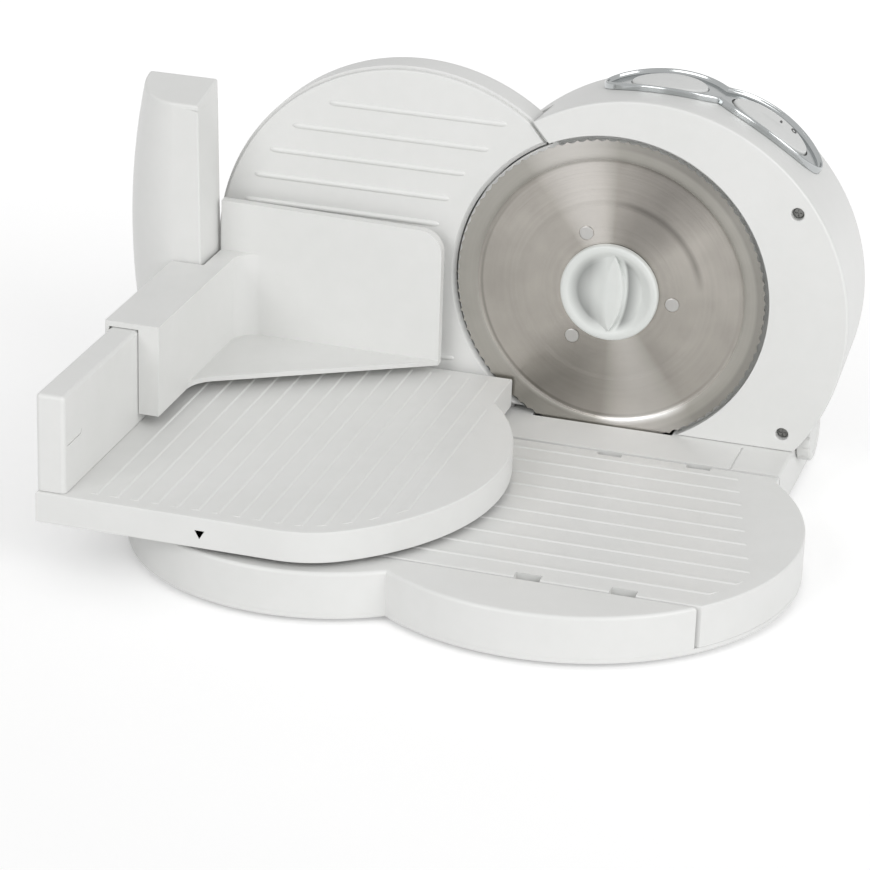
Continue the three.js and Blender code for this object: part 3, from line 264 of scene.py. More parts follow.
def lathe(name, axis, centre, profile, sides=96, close=False):
    # profile: (radius, place along the axis); a ring is pulled from point to point
    quiet()
    along = Vector([int(letter == axis) for letter in "XYZ"])
    radius, place = profile[0]
    bpy.ops.mesh.primitive_circle_add(
        vertices=sides, radius=radius / 1000, location=onAxis(axis, centre, place), rotation=axisTurns[axis])
    piece = settle(name)
    take(piece)
    bpy.ops.object.mode_set(mode="EDIT")
    bpy.ops.mesh.select_mode(type="EDGE")
    bpy.ops.mesh.select_all(action="SELECT")
    for nextRadius, nextPlace in profile[1:]:
        bpy.ops.mesh.extrude_edges_move(
            TRANSFORM_OT_translate={"value": along * (nextPlace - place) / 1000})
        scale = nextRadius / radius
        value = [scale if part == 0 else 1 for part in along]
        bpy.ops.transform.resize(value=value, center_override=onAxis(axis, centre, nextPlace))
        radius, place = nextRadius, nextPlace
    bpy.ops.mesh.select_all(action="SELECT")
    bpy.ops.mesh.remove_doubles(threshold=0.000002)
    if not close:  # both ends are round faces
        bpy.ops.mesh.select_all(action="DESELECT")
        bpy.ops.mesh.select_non_manifold()
        bpy.ops.mesh.edge_face_add()
        bpy.ops.mesh.select_all(action="SELECT")
    bpy.ops.mesh.normals_make_consistent(inside=False)
    leave()
    return piece


def ribRow(name, sizes, axis, length, high, low, top, pitch):
    # ribs side by side along x or y: the edge at low runs down into the top, the one at high leans towards it
    crest = top + sizes["ribHeight"]
    width = sorted((high, low))
    x, y = (width, length) if axis == "x" else (length, width)
    along = Vector((int(axis == "x"), int(axis == "y"), 0))
    first = block(name + "1", x, y, (top - 1, crest))
    pick(first, "EDGE", liesAt(**{axis: low, "z": crest}))
    bpy.ops.transform.translate(value=(0, 0, -(sizes["ribHeight"] + 0.1) / 1000))
    leave()
    pick(first, "EDGE", liesAt(**{axis: high, "z": crest}))
    bpy.ops.transform.translate(value=along * math.copysign(sizes["ribRise"] / 1000, low - high))
    bpy.ops.mesh.bevel(offset=sizes["ribRound"] / 1000, segments=3, affect="EDGES", clamp_overlap=False)
    leave()
    others = [twin(first, f"{name}{i + 1}", along * (i * pitch)) for i in range(1, sizes["ribs"])]
    return gather(first, others)


def hand(piece, body, node=None, finish="white"):  # the piece takes its node's place
    piece.data.materials.clear()
    piece.data.materials.append(finishes[finish])
    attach(piece, body)
    if node:
        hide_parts(node)


# finishes
def maths(operation, turned=False):  # an operator that adds a Math node
    def work(wire, other):
        first, second = (other, wire) if turned else (wire, other)
        return wire.finish.node("ShaderNodeMath", {"operation": operation}, {0: first, 1: second})
    return work


class Wire:  # an output socket, so that shader maths reads as plain expressions
    def __init__(self, finish, socket):
        self.finish = finish
        self.socket = socket

    __add__, __radd__ = maths("ADD"), maths("ADD", turned=True)
    __sub__, __rsub__ = maths("SUBTRACT"), maths("SUBTRACT", turned=True)
    __mul__, __rmul__ = maths("MULTIPLY"), maths("MULTIPLY", turned=True)
    __truediv__ = maths("DIVIDE")
    __pow__ = maths("POWER")


class Finish:  # one material, or the world, and its nodes
    def __init__(self, name, shelf=bpy.data.materials):
        self.owner = shelf.new(name)
        self.owner.use_nodes = True
        self.tree = self.owner.node_tree
        self.tree.nodes.clear()

    def node(self, kind, settings=None, sockets=None, out=0):
        made = self.tree.nodes.new(kind)
        for key, value in (settings or {}).items():
            setattr(made, key, value)
        for key, value in (sockets or {}).items():
            if isinstance(value, Wire):
                self.tree.links.new(value.socket, made.inputs[key])
            else:
                made.inputs[key].default_value = value
        return Wire(self, made.outputs[out]) if made.outputs else None

    def place(self):
        return self.node("ShaderNodeTexCoord", out="Object")

    def noise(self, scale, detail, roughness, vector=None):
        return self.node("ShaderNodeTexNoise", None, {
            "Vector": vector or self.place(), "Scale": scale, "Detail": detail, "Roughness": roughness})

    def rings(self, radius, scale, detail):  # noise that changes with the radius alone
        return self.node("ShaderNodeTexNoise", {"noise_dimensions": "1D"}, {
            "W": radius, "Scale": scale, "Detail": detail, "Roughness": 0.6})

    def rays(self, *kinds):  # 1 for rays of these kinds
        first, *others = [self.node("ShaderNodeLightPath", out=f"Is {kind} Ray") for kind in kinds]
        return sum(others, first)

    def blend(self, factor, low, high):  # between two colours
        low, high = [colour if isinstance(colour, Wire) else (*colour, 1) for colour in (low, high)]
        return self.node("ShaderNodeMix", {"data_type": "RGBA"}, {0: factor, 6: low, 7: high}, out=2)

    def span(self, value, fromLow, fromHigh, toLow=0.0, toHigh=1.0):
        return self.node("ShaderNodeMapRange", {"clamp": True}, {
            0: value, 1: fromLow, 2: fromHigh, 3: toLow, 4: toHigh})

    def fall(self, value, middle, width):  # 1 at the middle, 0 beyond the width
        away = self.node("ShaderNodeMath", {"operation": "ABSOLUTE"}, {0: value - middle})
        return self.span(away, 0.0, width, 1.0, 0.0)

    def hill(self, value, low, middle, high):  # 1 at the middle, 0 at low and high
        return self.span(value, low, middle) * self.span(value, middle, high, 1.0, 0.0)

    def bump(self, height, strength, distance):
        return self.node("ShaderNodeBump", None, {
            "Strength": strength, "Distance": distance, "Height": height}, out="Normal")

    def close(self, **sockets):
        names = {key.replace("_", " "): value for key, value in sockets.items()}
        shader = self.node("ShaderNodeBsdfPrincipled", None, names)
        self.node("ShaderNodeOutputMaterial", None, {"Surface": shader})
        return self.owner


# scale, detail and roughness of each noise; depths are in metres
plastic = {
    "flow": (14, 2.0, 0.5), "cloud": (90, 4.0, 0.6), "skin": (2600, 2.0, 0.6), "depth": 0.00006,
    "flowShare": 0.6, "skinShare": 0.7, "skinSpread": 0.05, "tone": (0.35, 0.65), "specular": 0.45,
}


def closePlastic(finish, colour, cloud, gloss, spread, grain):
    # a fine eroded skin, and a gloss that is not quite even
    skin = finish.noise(*plastic["skin"])
    share = plastic["skinShare"]
    return finish.close(
        Base_Color=colour,
        Roughness=gloss + spread * (cloud - 0.5) + plastic["skinSpread"] * (skin - 0.5),
        Normal=finish.bump(skin * share + cloud * (1 - share), grain, plastic["depth"]),
        Specular_IOR_Level=plastic["specular"],
    )


def mouldedFinish(name, pale, deep, gloss, spread, grain):  # moulded plastic with faint flow marks
    finish = Finish(name)
    flow, cloud = finish.noise(*plastic["flow"]), finish.noise(*plastic["cloud"])
    share = plastic["flowShare"]
    tone = finish.span(flow * share + cloud * (1 - share), *plastic["tone"])
    return closePlastic(finish, finish.blend(tone, deep, pale), cloud, gloss, spread, grain)


metal = {
    "cloud": (60, 4.0, 0.6), "scratch": (1.0, 4.0, 0.7), "drawn": 0.05, "cloudSpread": 0.06, "depth": 0.00005,
}


def metalFinish(name, pale, deep, gloss, spread, scale, grain):
    # drawn or turned metal with fine scratches and a few dull clouds
    finish = Finish(name)
    cloud = finish.noise(*metal["cloud"])
    drawn = finish.node("ShaderNodeMapping", None, {
        "Vector": finish.place(), "Scale": (scale, scale, scale * metal["drawn"])})
    scratch = finish.noise(*metal["scratch"], drawn)
    return finish.close(
        Base_Color=finish.blend(cloud * 0.5 + scratch * 0.5, deep, pale),
        Metallic=1.0,
        Roughness=gloss + spread * (scratch - 0.5) + metal["cloudSpread"] * (cloud - 0.5),
        Normal=finish.bump(scratch, grain, metal["depth"]),
    )


def speckledFinish(name, pale, deep, broad, fine, gloss, spread, speckSpread, grain, depth, metallic=0.0):
    # chrome or rubber: broad clouds in colour and gloss, fine specks in the surface
    finish = Finish(name)
    cloud, speck = finish.noise(*broad), finish.noise(*fine)
    return finish.close(
        Base_Color=finish.blend(cloud, deep, pale),
        Metallic=metallic,
        Roughness=gloss + spread * (cloud - 0.5) + speckSpread * speck,
        Normal=finish.bump(speck, grain, depth),
    )


def fromAxis(finish):  # across, rise and radius, all from the blade's axis, in metres
    x, _, z = at(bladeAxis[0], 0, bladeAxis[1])
    centred = finish.node("ShaderNodeMapping", None, {"Vector": finish.place(), "Location": (-x, 0, -z)})
    across = finish.node("ShaderNodeSeparateXYZ", None, {0: centred}, out="X")
    rise = finish.node("ShaderNodeSeparateXYZ", None, {0: centred}, out="Z")
    return across, rise, (across * across + rise * rise) ** 0.5


knobLooks = {
    "pale": (0.765, 0.785, 0.765), "deep": (0.72, 0.74, 0.72), "grey": (0.0, 0.0, 0.0),
    "gloss": 0.30, "spread": 0.06, "grain": 0.07, "leftShade": 0.56, "rightShade": 0.6,
    # in metres: the left crease and where it ends, the round of the right flank and what lies beyond it
    "crease": (0.007, 0.0195, 0.0255), "creaseEnd": (-0.012, -0.002), "dish": (0.021, 0.0245),
    "flank": (0.0548, 0.003, 0.066), "beyond": (-0.001, 0.0005, 0.008),
}


def knobFinish(name):  # moulded plastic again, with shade painted into the creases on both sides of the grip
    finish = Finish(name)
    looks = knobLooks
    cloud = finish.noise(*plastic["cloud"])
    across, rise, radius = fromAxis(finish)
    # painted shade: darker in the left crease of the dish and just beyond the round of the grip's right flank
    left = finish.hill(radius, *looks["crease"]) * finish.span(across, *looks["creaseEnd"], 1.0, 0.0)
    aside, above, bow = looks["flank"]
    beyond = ((across + aside) ** 2 + (rise - above) ** 2) ** 0.5 - bow
    right = finish.hill(beyond, *looks["beyond"]) * finish.span(radius, *looks["dish"], 1.0, 0.0)
    plain = finish.blend(cloud, looks["deep"], looks["pale"])
    colour = finish.blend(left * looks["leftShade"] + right * looks["rightShade"], plain, looks["grey"])
    return closePlastic(finish, colour, cloud, looks["gloss"], looks["spread"], looks["grain"])


bladeLooks = {
    "disc": ((0.20, 0.187, 0.170), (0.525, 0.495, 0.455)),
    "rim": ((0.31, 0.298, 0.273), (0.475, 0.457, 0.420)),
    "black": (0.0, 0.0, 0.0), "bright": (0.86, 0.83, 0.80), "glintTone": (0.86, 0.84, 0.82),
    "fine": (11000.0, 2.0), "broad": (420.0, 3.0), "smear": (26, 3.0, 0.55), "shares": (0.1, 0.15, 0.75),
    "tone": (0.3, 0.7, 0.55, 1.0), "gloss": (0.22, 0.08, 0.03), "ringDepth": 0.000036, "stepCalm": 0.85,
    # radii in metres: where a band starts and ends, or its middle and width
    "ground": (0.0819, 0.0824), "edge": (0.0885, 0.0905),
    "step": (0.0825, 0.0035), "press": (0.0556, 0.0034), "seat": (0.0797, 0.0012), "glint": (0.0828, 0.0032),
    # directions from the axis; the painted shine and shade go by twice the angle, so they lie on both sides
    # of it
    "upperRight": (0.656, 0.755), "below": (0.3, -0.954),
    "shineAt": (-0.809, -0.588), "shadeAt": (-0.695, 0.719),
    # how much of a direction counts, from and to, and what it gives there
    "pressSide": (0.74, 0.9), "pressTone": 0.4, "seatSide": (-0.8, 0.4, 0.6, 0.05),
    "shine": (0.78, 1.0, 0.0, 0.44), "shade": (0.5, 1.0, 0.0, 0.38), "shadeUp": (-0.3, 0.3, 0.35, 1.0),
    "groundCalm": 0.65, "edgeShade": 0.22, "edgeRight": (-0.3, 0.5, 0.1, 1.0), "glintSide": (0.93, 0.985),
}


def bladeFinish(name):
    # turned steel: fine rings round the axis and a ground bevel outside; its colour also holds painted shade
    # on the steps, a painted sheen and shade across the axis, painted shade at the outer edge and a painted
    # glint
    finish = Finish(name)
    looks, span = bladeLooks, finish.span
    across, rise, radius = fromAxis(finish)
    cosine, sine = across / radius, rise / radius
    double = (cosine * cosine - sine * sine, 2.0 * cosine * sine)

    def towards(pair, direction):  # 1 where the pair points that way
        return pair[0] * looks[direction][0] + pair[1] * looks[direction][1]

    fine, broad = finish.rings(radius, *looks["fine"]), finish.rings(radius, *looks["broad"])
    grains = zip((fine, broad, finish.noise(*looks["smear"])), looks["shares"])
    first, *others = [grain * share for grain, share in grains]
    ground = span(radius, *looks["ground"])
    side = towards((cosine, sine), "upperRight")
    # painted shade on the press step, on the side towards the upper right
    pressShadeMask = finish.fall(radius, *looks["press"]) * span(side, *looks["pressSide"])
    press = span(pressShadeMask, 0.0, 1.0, 1.0, looks["pressTone"])
    # painted shade on the seat step, strongest towards the lower left
    seat = 1.0 - finish.fall(radius, *looks["seat"]) * span(side, *looks["seatSide"])
    tone = span(sum(others, first), *looks["tone"]) * press * seat
    # painted sheen and painted shade: two bright and two dark sectors across the axis, the shade weaker below
    # and on the ground band
    shine = span(towards(double, "shineAt"), *looks["shine"])
    shade = span(towards(double, "shadeAt"), *looks["shade"]) * span(sine, *looks["shadeUp"])
    shade = shade * (1.0 - looks["groundCalm"] * ground)
    # painted shade on the outer edge of the blade, mostly on the right
    edge = span(radius, *looks["edge"], 0.0, looks["edgeShade"]) * span(cosine, *looks["edgeRight"])
    # painted highlight: a glint on the step below the axis, a little to the right
    glint = finish.fall(radius, *looks["glint"]) * span(towards((cosine, sine), "below"), *looks["glintSide"])
    disc, rim = finish.blend(tone, *looks["disc"]), finish.blend(tone, *looks["rim"])
    steel = finish.blend(shade + edge, finish.blend(ground, disc, rim), looks["black"])
    steel = finish.blend(shine, steel, looks["bright"])
    gloss, groundGloss, ringGloss = looks["gloss"]
    depth = fine * (1.0 - looks["stepCalm"] * finish.fall(radius, *looks["step"]))
    return finish.close(
        Base_Color=finish.blend(glint, steel, looks["glintTone"]),
        Metallic=1.0,
        Roughness=gloss + groundGloss * ground + ringGloss * (broad - 0.5),
        Normal=finish.bump(depth, 1.0, looks["ringDepth"]),
    )


# pale and deep colour, then gloss, its spread and the grain; for metal also the scale of its scratches
finishes = {
    "white": mouldedFinish("whitePlastic", (0.805, 0.807, 0.795), (0.775, 0.779, 0.764), 0.36, 0.07, 0.10),
    "insert": mouldedFinish("insertPlastic", (0.76, 0.765, 0.755), (0.72, 0.73, 0.72), 0.30, 0.06, 0.08),
    "knob": knobFinish("knobPlastic"),
    "dark": mouldedFinish("darkPlastic", (0.030, 0.031, 0.032), (0.022, 0.022, 0.023), 0.5, 0.12, 0.2),
    "mark": mouldedFinish("printedMark", (0.10, 0.10, 0.10), (0.07, 0.07, 0.07), 0.5, 0.1, 0.1),
    "ink": mouldedFinish("blackInk", (0.012, 0.012, 0.012), (0.008, 0.008, 0.008), 0.5, 0.1, 0.1),
    "nylon": mouldedFinish("gearNylon", (0.72, 0.68, 0.54), (0.66, 0.62, 0.48), 0.42, 0.08, 0.12),
    "rubber": speckledFinish(
        "footRubber", (0.06, 0.06, 0.06), (0.028, 0.028, 0.029), (160, 4.0, 0.65), (1800, 3.0, 0.6),
        0.78, 0.2, 0.0, 0.3, 0.0001),
    "steel": metalFinish("screwSteel", (0.52, 0.51, 0.49), (0.36, 0.355, 0.35), 0.34, 0.16, 2200, 0.12),
    # the face screws are darker steel, which stands in for the shade deep in their recesses
    "screw": metalFinish("darkScrew", (0.30, 0.30, 0.29), (0.18, 0.18, 0.175), 0.42, 0.16, 2200, 0.12),
    "rivet": metalFinish("rivetSteel", (0.66, 0.65, 0.63), (0.50, 0.49, 0.48), 0.36, 0.12, 2600, 0.12),
    "sheet": metalFinish("bracketSheet", (0.50, 0.50, 0.49), (0.38, 0.38, 0.375), 0.42, 0.14, 1500, 0.1),
    "bronze": metalFinish("bushBronze", (0.45, 0.29, 0.12), (0.33, 0.20, 0.08), 0.38, 0.14, 2000, 0.12),
    "motor": metalFinish("motorCase", (0.20, 0.20, 0.205), (0.12, 0.12, 0.125), 0.45, 0.14, 1200, 0.12),
    "chrome": speckledFinish(
        "brightChrome", (0.55, 0.565, 0.57), (0.43, 0.45, 0.45), (70, 3.0, 0.55), (900, 2.0, 0.5),
        0.11, 0.07, 0.04, 0.05, 0.00003, metallic=1.0),
    "blade": bladeFinish("bladeSteel"),
}
print("finishes ready:", len(finishes))

# camera; focal length and image width are in pixels
view = {
    "place": (0.5122, -1.75005, 0.8300), "right": (0.9548, 0.2956, 0.0311), "up": (-0.1440, 0.3684, 0.9185),
    "focal": 3378.5, "image": 870, "sensor": 36,
}
bpy.ops.object.camera_add(location=view["place"])
camera = bpy.context.object
camera.name = "frontCamera"
rightward = Vector(view["right"]).normalized()
upward = (Vector(view["up"]) - rightward * rightward.dot(Vector(view["up"]))).normalized()
camera.rotation_euler = Matrix((rightward, upward, rightward.cross(upward))).transposed().to_euler()
camera.data.lens = view["focal"] / view["image"] * view["sensor"]
camera.data.sensor_width = view["sensor"]
camera.data.clip_end = 50
bpy.context.scene.camera = camera
print("camera set, lens", round(camera.data.lens, 1))

# base
base = {
    "rightLobe": (17, -134, 133), "leftLobe": (-125, -149, 115),  # x, y and radius
    "rearBlock": (-95, 118, 84), "gaugeBlock": (-190, -16, 56),  # left, right and back
    "blockFront": -62, "corner": 16, "heights": (6.03, 31), "floor": (3, 6), "wall": 3,
    "topRound": 2.2, "slotRound": 0.35, "floorRound": 0.7,
    "channel": ((-160, 160), (-227.2, -37.8)), "channelWall": 4,
    "slots": {  # x, y and floor
        "bladeWell": ((-43.6, 43.6), (-1.5, 17), 9.3), "legSlot": ((-113, -57), (7, 34), 27),
        "rackSlot": ((68, 78), (3.3, 43.1), 27), "stripSeam": ((87.4, 88.4), (-39, -3.5), 30.1)},
    "rods": (-90, 50), "rodHeight": 16.2, "rodHole": 3.3, "holders": (-26, 48), "holderHalf": 8, "holder": 4,
    "screws": ((-200, -140), (10, -248), (-160, 20), (97, 40)), "boss": 5, "pilot": (1.8, 12.5),
    "underTop": 1.5, "screwHole": 2, "headSink": (3.9, 4.7), "footSocket": 4.3,
    "feet": ((-172, -222), (72, -234), (-172, 38), (98, 64)),
    "foot": ((7.4, 0), (8.4, 0.35), (9, 1.1), (8.7, 2.7), (4, 2.7), (4, 5.4)),  # radius and height
}


def baseOutline(name, inset, heights):
    # its parts stand past both faces by unequal lengths and are then cut level
    middle, front = sum(heights) / 2, base["blockFront"]
    x, y, r = base["rightLobe"]
    shell = drum(name, "Z", (x, y), r - inset, past(heights, 2))
    x, y, r = base["leftLobe"]
    left = drum("leftLobe", "Z", (x, y), r - inset, past(heights, 4), 224)
    x0, x1, back = base["rearBlock"]
    rear = block("rearBlock", (x0 + inset, x1 - inset), (front, back - inset), past(heights, 6))
    bevelEdges(rear, base["corner"], 10, liesAt(y=back - inset, z=middle))
    x0, x1, back = base["gaugeBlock"]
    side = block("gaugeBlock", (x0 + inset, x1), (front, back - inset), past(heights, 8))
    bevelEdges(side, base["corner"], 10, liesAt(x=x0 + inset, y=back - inset, z=middle))
    return level(fuse(shell, left, rear, side), heights)


def makeBase():
    low, top = base["heights"]
    shell = baseOutline("baseShell", 0, base["heights"])
    bevelEdges(shell, base["topRound"], 5, sharpAt(z=top))
    (left, right), across = base["channel"]
    edge, wall, above = base["channelWall"], base["wall"], top + 2
    room = baseOutline("baseRoom", wall, (low - 2, top - wall))
    carve(room, block("channelSides", (left - edge, right), past(across, edge), (0, above)))
    carve(shell, room, block("channel", (left, right), across, (0, above)))
    for name, (x, y, floor) in base["slots"].items():
        carve(shell, block(name, x, y, (floor, above)))
    post = (low, top - base["underTop"])
    half, thick = base["holderHalf"], base["holder"]
    for x in base["rods"]:
        for y in base["holders"]:
            fuse(shell, block("rodHolder", about(x, half), (y, y + thick), post))
        length = (base["holders"][0] - 1, base["holders"][1] + thick + 1)
        carve(shell, drum("rodHole", "Y", (x, base["rodHeight"]), base["rodHole"], length, 32))
    radius, deep = base["pilot"]
    for place in base["screws"]:
        fuse(shell, drum("screwBoss", "Z", place, base["boss"], post, 32))
        carve(shell, drum("screwHole", "Z", place, radius, (low - 1, low + deep), 24))
    tidy(shell)
    bevelEdges(shell, base["slotRound"], 2, sharpAt(z=top))
    hand(smooth(shell), "base", "base_body")

    floor = baseOutline("baseFloor", 0, base["floor"])
    under, through = base["floor"][0], past(base["floor"], 1)
    bevelEdges(floor, base["floorRound"], 2, sharpAt(z=under))
    radius, deep = base["headSink"]
    for place in base["screws"]:
        carve(floor, drum("floorHole", "Z", place, base["screwHole"], through, 24),
              drum("headSink", "Z", place, radius, (under - 1, deep), 32))
    for place in base["feet"]:
        carve(floor, drum("footSocket", "Z", place, base["footSocket"], through, 32))
    hand(smooth(tidy(floor)), "base", "base_floor")

    foot = lathe("rubberFoot1", "Z", base["feet"][0], base["foot"], 48)
    for number, piece in enumerate(repeat(foot, [(x, y, 0) for x, y in base["feet"]]), 1):
        hand(smooth(piece), "base", f"rubber_foot_{number}", "rubber")
    print("base done")


# tray
tray = {
    "y": (-224.8, -40.2), "left": -150, "heights": (6.15, 31), "wall": 3, "round": 1.3,
    "ribs": 10, "ribInset": 14, "ribRight": 150,
    "ribHeight": 0.6, "ribSlope": 9.0, "ribRise": 2.2, "ribRound": 0.6,
    "ribEnd": 10, "ribSide": 4, "ribLine": (106, -89, 0.275),  # the line where they end: x, y and lean
    "notches": (15.8, 69.8), "notchWidth": 15, "notchDepth": 6, "lining": 1.5,
    "slot": (18.5, 23), "slotDepth": 2.1, "slotEnd": 104.3,
}


def trayOutline(name, inset, heights):
    x, y, r = base["rightLobe"]
    front, back = past(tray["y"], -inset)
    end = drum(name, "Z", (x, y), r - inset, past(heights, 2))
    trim(end, left=x, front=front, back=back)
    run = block("trayRun", (tray["left"] + inset, x + 2), (front, back), past(heights, 4))
    right = base["rearBlock"][1] - inset
    behind = block("trayCorner", (x, right), (base["blockFront"], back), past(heights, 6))
    return level(fuse(end, run, behind), heights)


def ribField(top):  # where the tray's ribs end, along the round end
    x, y, r = base["rightLobe"]
    heights, side = (top - 3, top + 3), tray["ribSide"]
    field = trim(drum("ribField", "Z", (x, y), r - tray["ribEnd"], heights), left=x)
    lineX, lineY, lean = tray["ribLine"]
    cut(field, (lineX, lineY, 0), (1, lean, 0))
    return fuse(field, block("ribRun", (tray["left"] + side, x + side), past(tray["y"], -side), heights))


def makeTray():
    low, top = tray["heights"]
    body = trayOutline("sliceTray", 0, tray["heights"])
    bevelEdges(body, tray["round"], 3, sharpAt(z=top))
    carve(body, trayOutline("trayRoom", tray["wall"], (low - 2, top - tray["wall"])))
    front, back = tray["y"]
    left, floor, lining, deep = tray["left"], tray["slot"][0], tray["lining"], tray["notchDepth"]
    for edge, side in ((front, 1), (back, -1)):  # lined pockets let the hooks in, and a slot takes their toes
        for x in tray["notches"]:
            notch = about(x, tray["notchWidth"] / 2)
            fuse(body, block("notchLining", past(notch, lining), between(edge, side, 1, deep + lining),
                             (floor - lining, top - 1)))
            carve(body, block("notch", notch, between(edge, side, -1, deep), (floor, top + 2)))
        slot = between(edge, side, -1, tray["slotDepth"])
        carve(body, block("toeSlot", (left - 1, tray["slotEnd"]), slot, tray["slot"]))
    inset = tray["ribInset"]
    start = front + inset
    pitch = (back - front - 2 * inset) / (tray["ribs"] - 1)
    length, low = (left + inset, tray["ribRight"]), start + tray["ribSlope"]
    ribs = ribRow("trayRib", tray, "y", length, start, low, top, pitch)
    fuse(body, within(ribs, ribField(top)))
    tidy(body, 0.02)
    hand(smooth(body, 28), "tray", "slice_tray")
    print("tray done")


# gauge, face plate and housing share the seam above the blade
upright = {
    "opening": 97, "housing": (17, 109), "frontRadius": 127.5, "taper": 0.052334,
    "shellFront": 3.3, "back": 82, "backRound": 8, "wall": 3, "low": 31.3,
    "gauge": (-126, 116), "rim": 124, "seamTilt": 39.5,
}


def seamPoint():  # where the rims of gauge and housing cross
    (gx, gz), (hx, hz) = upright["gauge"], upright["housing"]
    dx, dz = hx - gx, hz - gz
    d = math.hypot(dx, dz)
    along = (upright["rim"] ** 2 - upright["frontRadius"] ** 2 + d * d) / (2 * d)
    rise = math.sqrt(upright["rim"] ** 2 - along ** 2)
    return gx + (along * dx - rise * dz) / d, gz + (along * dz + rise * dx) / d


def gaugeRoom(name, grow, span, opening=None):
    # the round of the gauge, less the blade's opening and what lies beyond the seam
    room = drum(name, "Y", upright["gauge"], upright["rim"] + grow, span)
    across, up = polar((0, 0), 1, upright["seamTilt"])
    x, z = seamPoint()
    cut(room, (x + across * grow, 0, z + up * grow), (across, 0, up))
    radius = opening or upright["opening"] - grow
    return carve(room, drum("bladeRound", "Y", bladeAxis, radius, past(span, 1)))


def housingForm(name, offset, front, back):  # the drum of the housing with a little draft
    x, z = upright["housing"]
    radius = upright["frontRadius"] + offset
    form = drum(name, "Y", (x, z), radius, (front, back))
    pick(form, "VERT", liesAt(y=back))
    fall = 1 - upright["taper"] * (back - front) / radius
    bpy.ops.transform.resize(value=(fall, 1, fall), center_override=at(x, back, z))
    leave()
    return bevelEdges(form, max(upright["backRound"] + offset, 1), 6, sharpAt(y=back))


plateSizes = {
    "span": (-0.5, 3), "round": 1.3, "innerRound": 0.5, "rimBand": (0.6, 2.5),
    "pan": 91.5, "panWall": 2.5, "panFloor": (12, 14.5), "panHole": (52, 40), "groove": (93.2, 97, 8),
    "flange": 104, "flangeBack": 9.5, "flangeInset": 3.5, "post": 5.5, "postLength": 4,
    "screws": ((37.6, 10.6), (-35.9, 12.4)),  # angle, and how far inside the rim
    "recess": (4.4, 3.9, 5), "screwWay": (2, 4, 9), "cross": (2.2, 0.45, (2.5, 4.0)),
    "screw": ((1.2, 3.15), (2.7, 3.25), (3.4, 3.9), (3.4, 4.7), (1.5, 4.7), (1.5, 22.7)),  # radius and y
}


def screwSpots():
    radius = upright["frontRadius"]
    return [polar(upright["housing"], radius - inset, turn) for turn, inset in plateSizes["screws"]]


def makeFacePlate():
    sizes = plateSizes
    front, back = sizes["span"]
    through = past(sizes["span"], 1)
    plate = drum("facePlate", "Y", upright["housing"], upright["frontRadius"], sizes["span"])
    carve(plate, gaugeRoom("plateRoom", 1, through))
    carve(plate, drum("plateOpening", "Y", bladeAxis, upright["opening"], through))
    carve(plate, block("gaugeSide", (-300, 0), through, (-100, bladeAxis[1])))
    trim(plate, below=upright["low"])
    tidy(plate, 0.15)
    onFront = sharpAt(y=front)
    x, z = upright["housing"]

    def inside(edge):  # how far an edge lies inside the rim
        ex, _, ez = spot(edge)
        return upright["frontRadius"] - math.hypot(ex - x, ez - z)

    outer, inner = sizes["rimBand"]
    bevelEdges(plate, sizes["round"], 4, lambda e: onFront(e) and inside(e) < outer)
    bevelEdges(plate, sizes["innerRound"], 2, lambda e: onFront(e) and inside(e) > inner)
    deep = sizes["flangeBack"]
    flange = drum("panFlange", "Y", bladeAxis, sizes["flange"], (back - 0.5, deep))
    carve(flange, gaugeRoom("flangeRoom", 2, (back - 3, deep + 2)))
    within(flange, housingForm("flangeForm", -sizes["flangeInset"], front, upright["back"]))
    fuse(plate, trim(flange, below=upright["low"]))
    inner, outer, deep = sizes["groove"]
    groove = drum("groove", "Y", bladeAxis, outer, (front - 1, deep))
    carve(plate, carve(groove, drum("grooveCore", "Y", bladeAxis, inner, (front - 2, deep + 1))))
    floor, under = sizes["panFloor"]
    fuse(plate, drum("panCup", "Y", bladeAxis, sizes["pan"], (back + 0.3, under)))
    carve(plate, drum("panRoom", "Y", bladeAxis, sizes["pan"] - sizes["panWall"], (front - 1, floor)))
    radius, deep = sizes["panHole"]
    carve(plate, drum("panHole", "Y", bladeAxis, radius, (front - 1, deep), 128))
    wide, narrow, seat = sizes["recess"]
    recess = ((wide, front - 0.5), (wide, front - 0.02), (narrow, front + 0.5), (narrow, seat))
    way, start, end = sizes["screwWay"]
    for place in screwSpots():
        fuse(plate, drum("screwPost", "Y", place, sizes["post"], (back - 1, back + sizes["postLength"]), 48))
        carve(plate, lathe("screwRecess", "Y", place, recess, 48))
        carve(plate, drum("screwWay", "Y", place, way, (start, end), 24))
    tidy(plate, 0.02)
    hand(smooth(plate), "base", "face_plate")

    x, z = screwSpots()[0]
    screw = lathe("faceScrew1", "Y", (x, z), sizes["screw"], 40)
    arm, thin, deep = sizes["cross"]
    for name, wide, tall in (("crossA", arm, thin), ("crossB", thin, arm)):
        carve(screw, block(name, about(x, wide), deep, about(z, tall)))
    for number, piece in enumerate(repeat(screw, [(x, 0, z) for x, z in screwSpots()]), 1):
        hand(smooth(piece), "base", f"face_screw_{number}", "screw")
    print("face plate done")


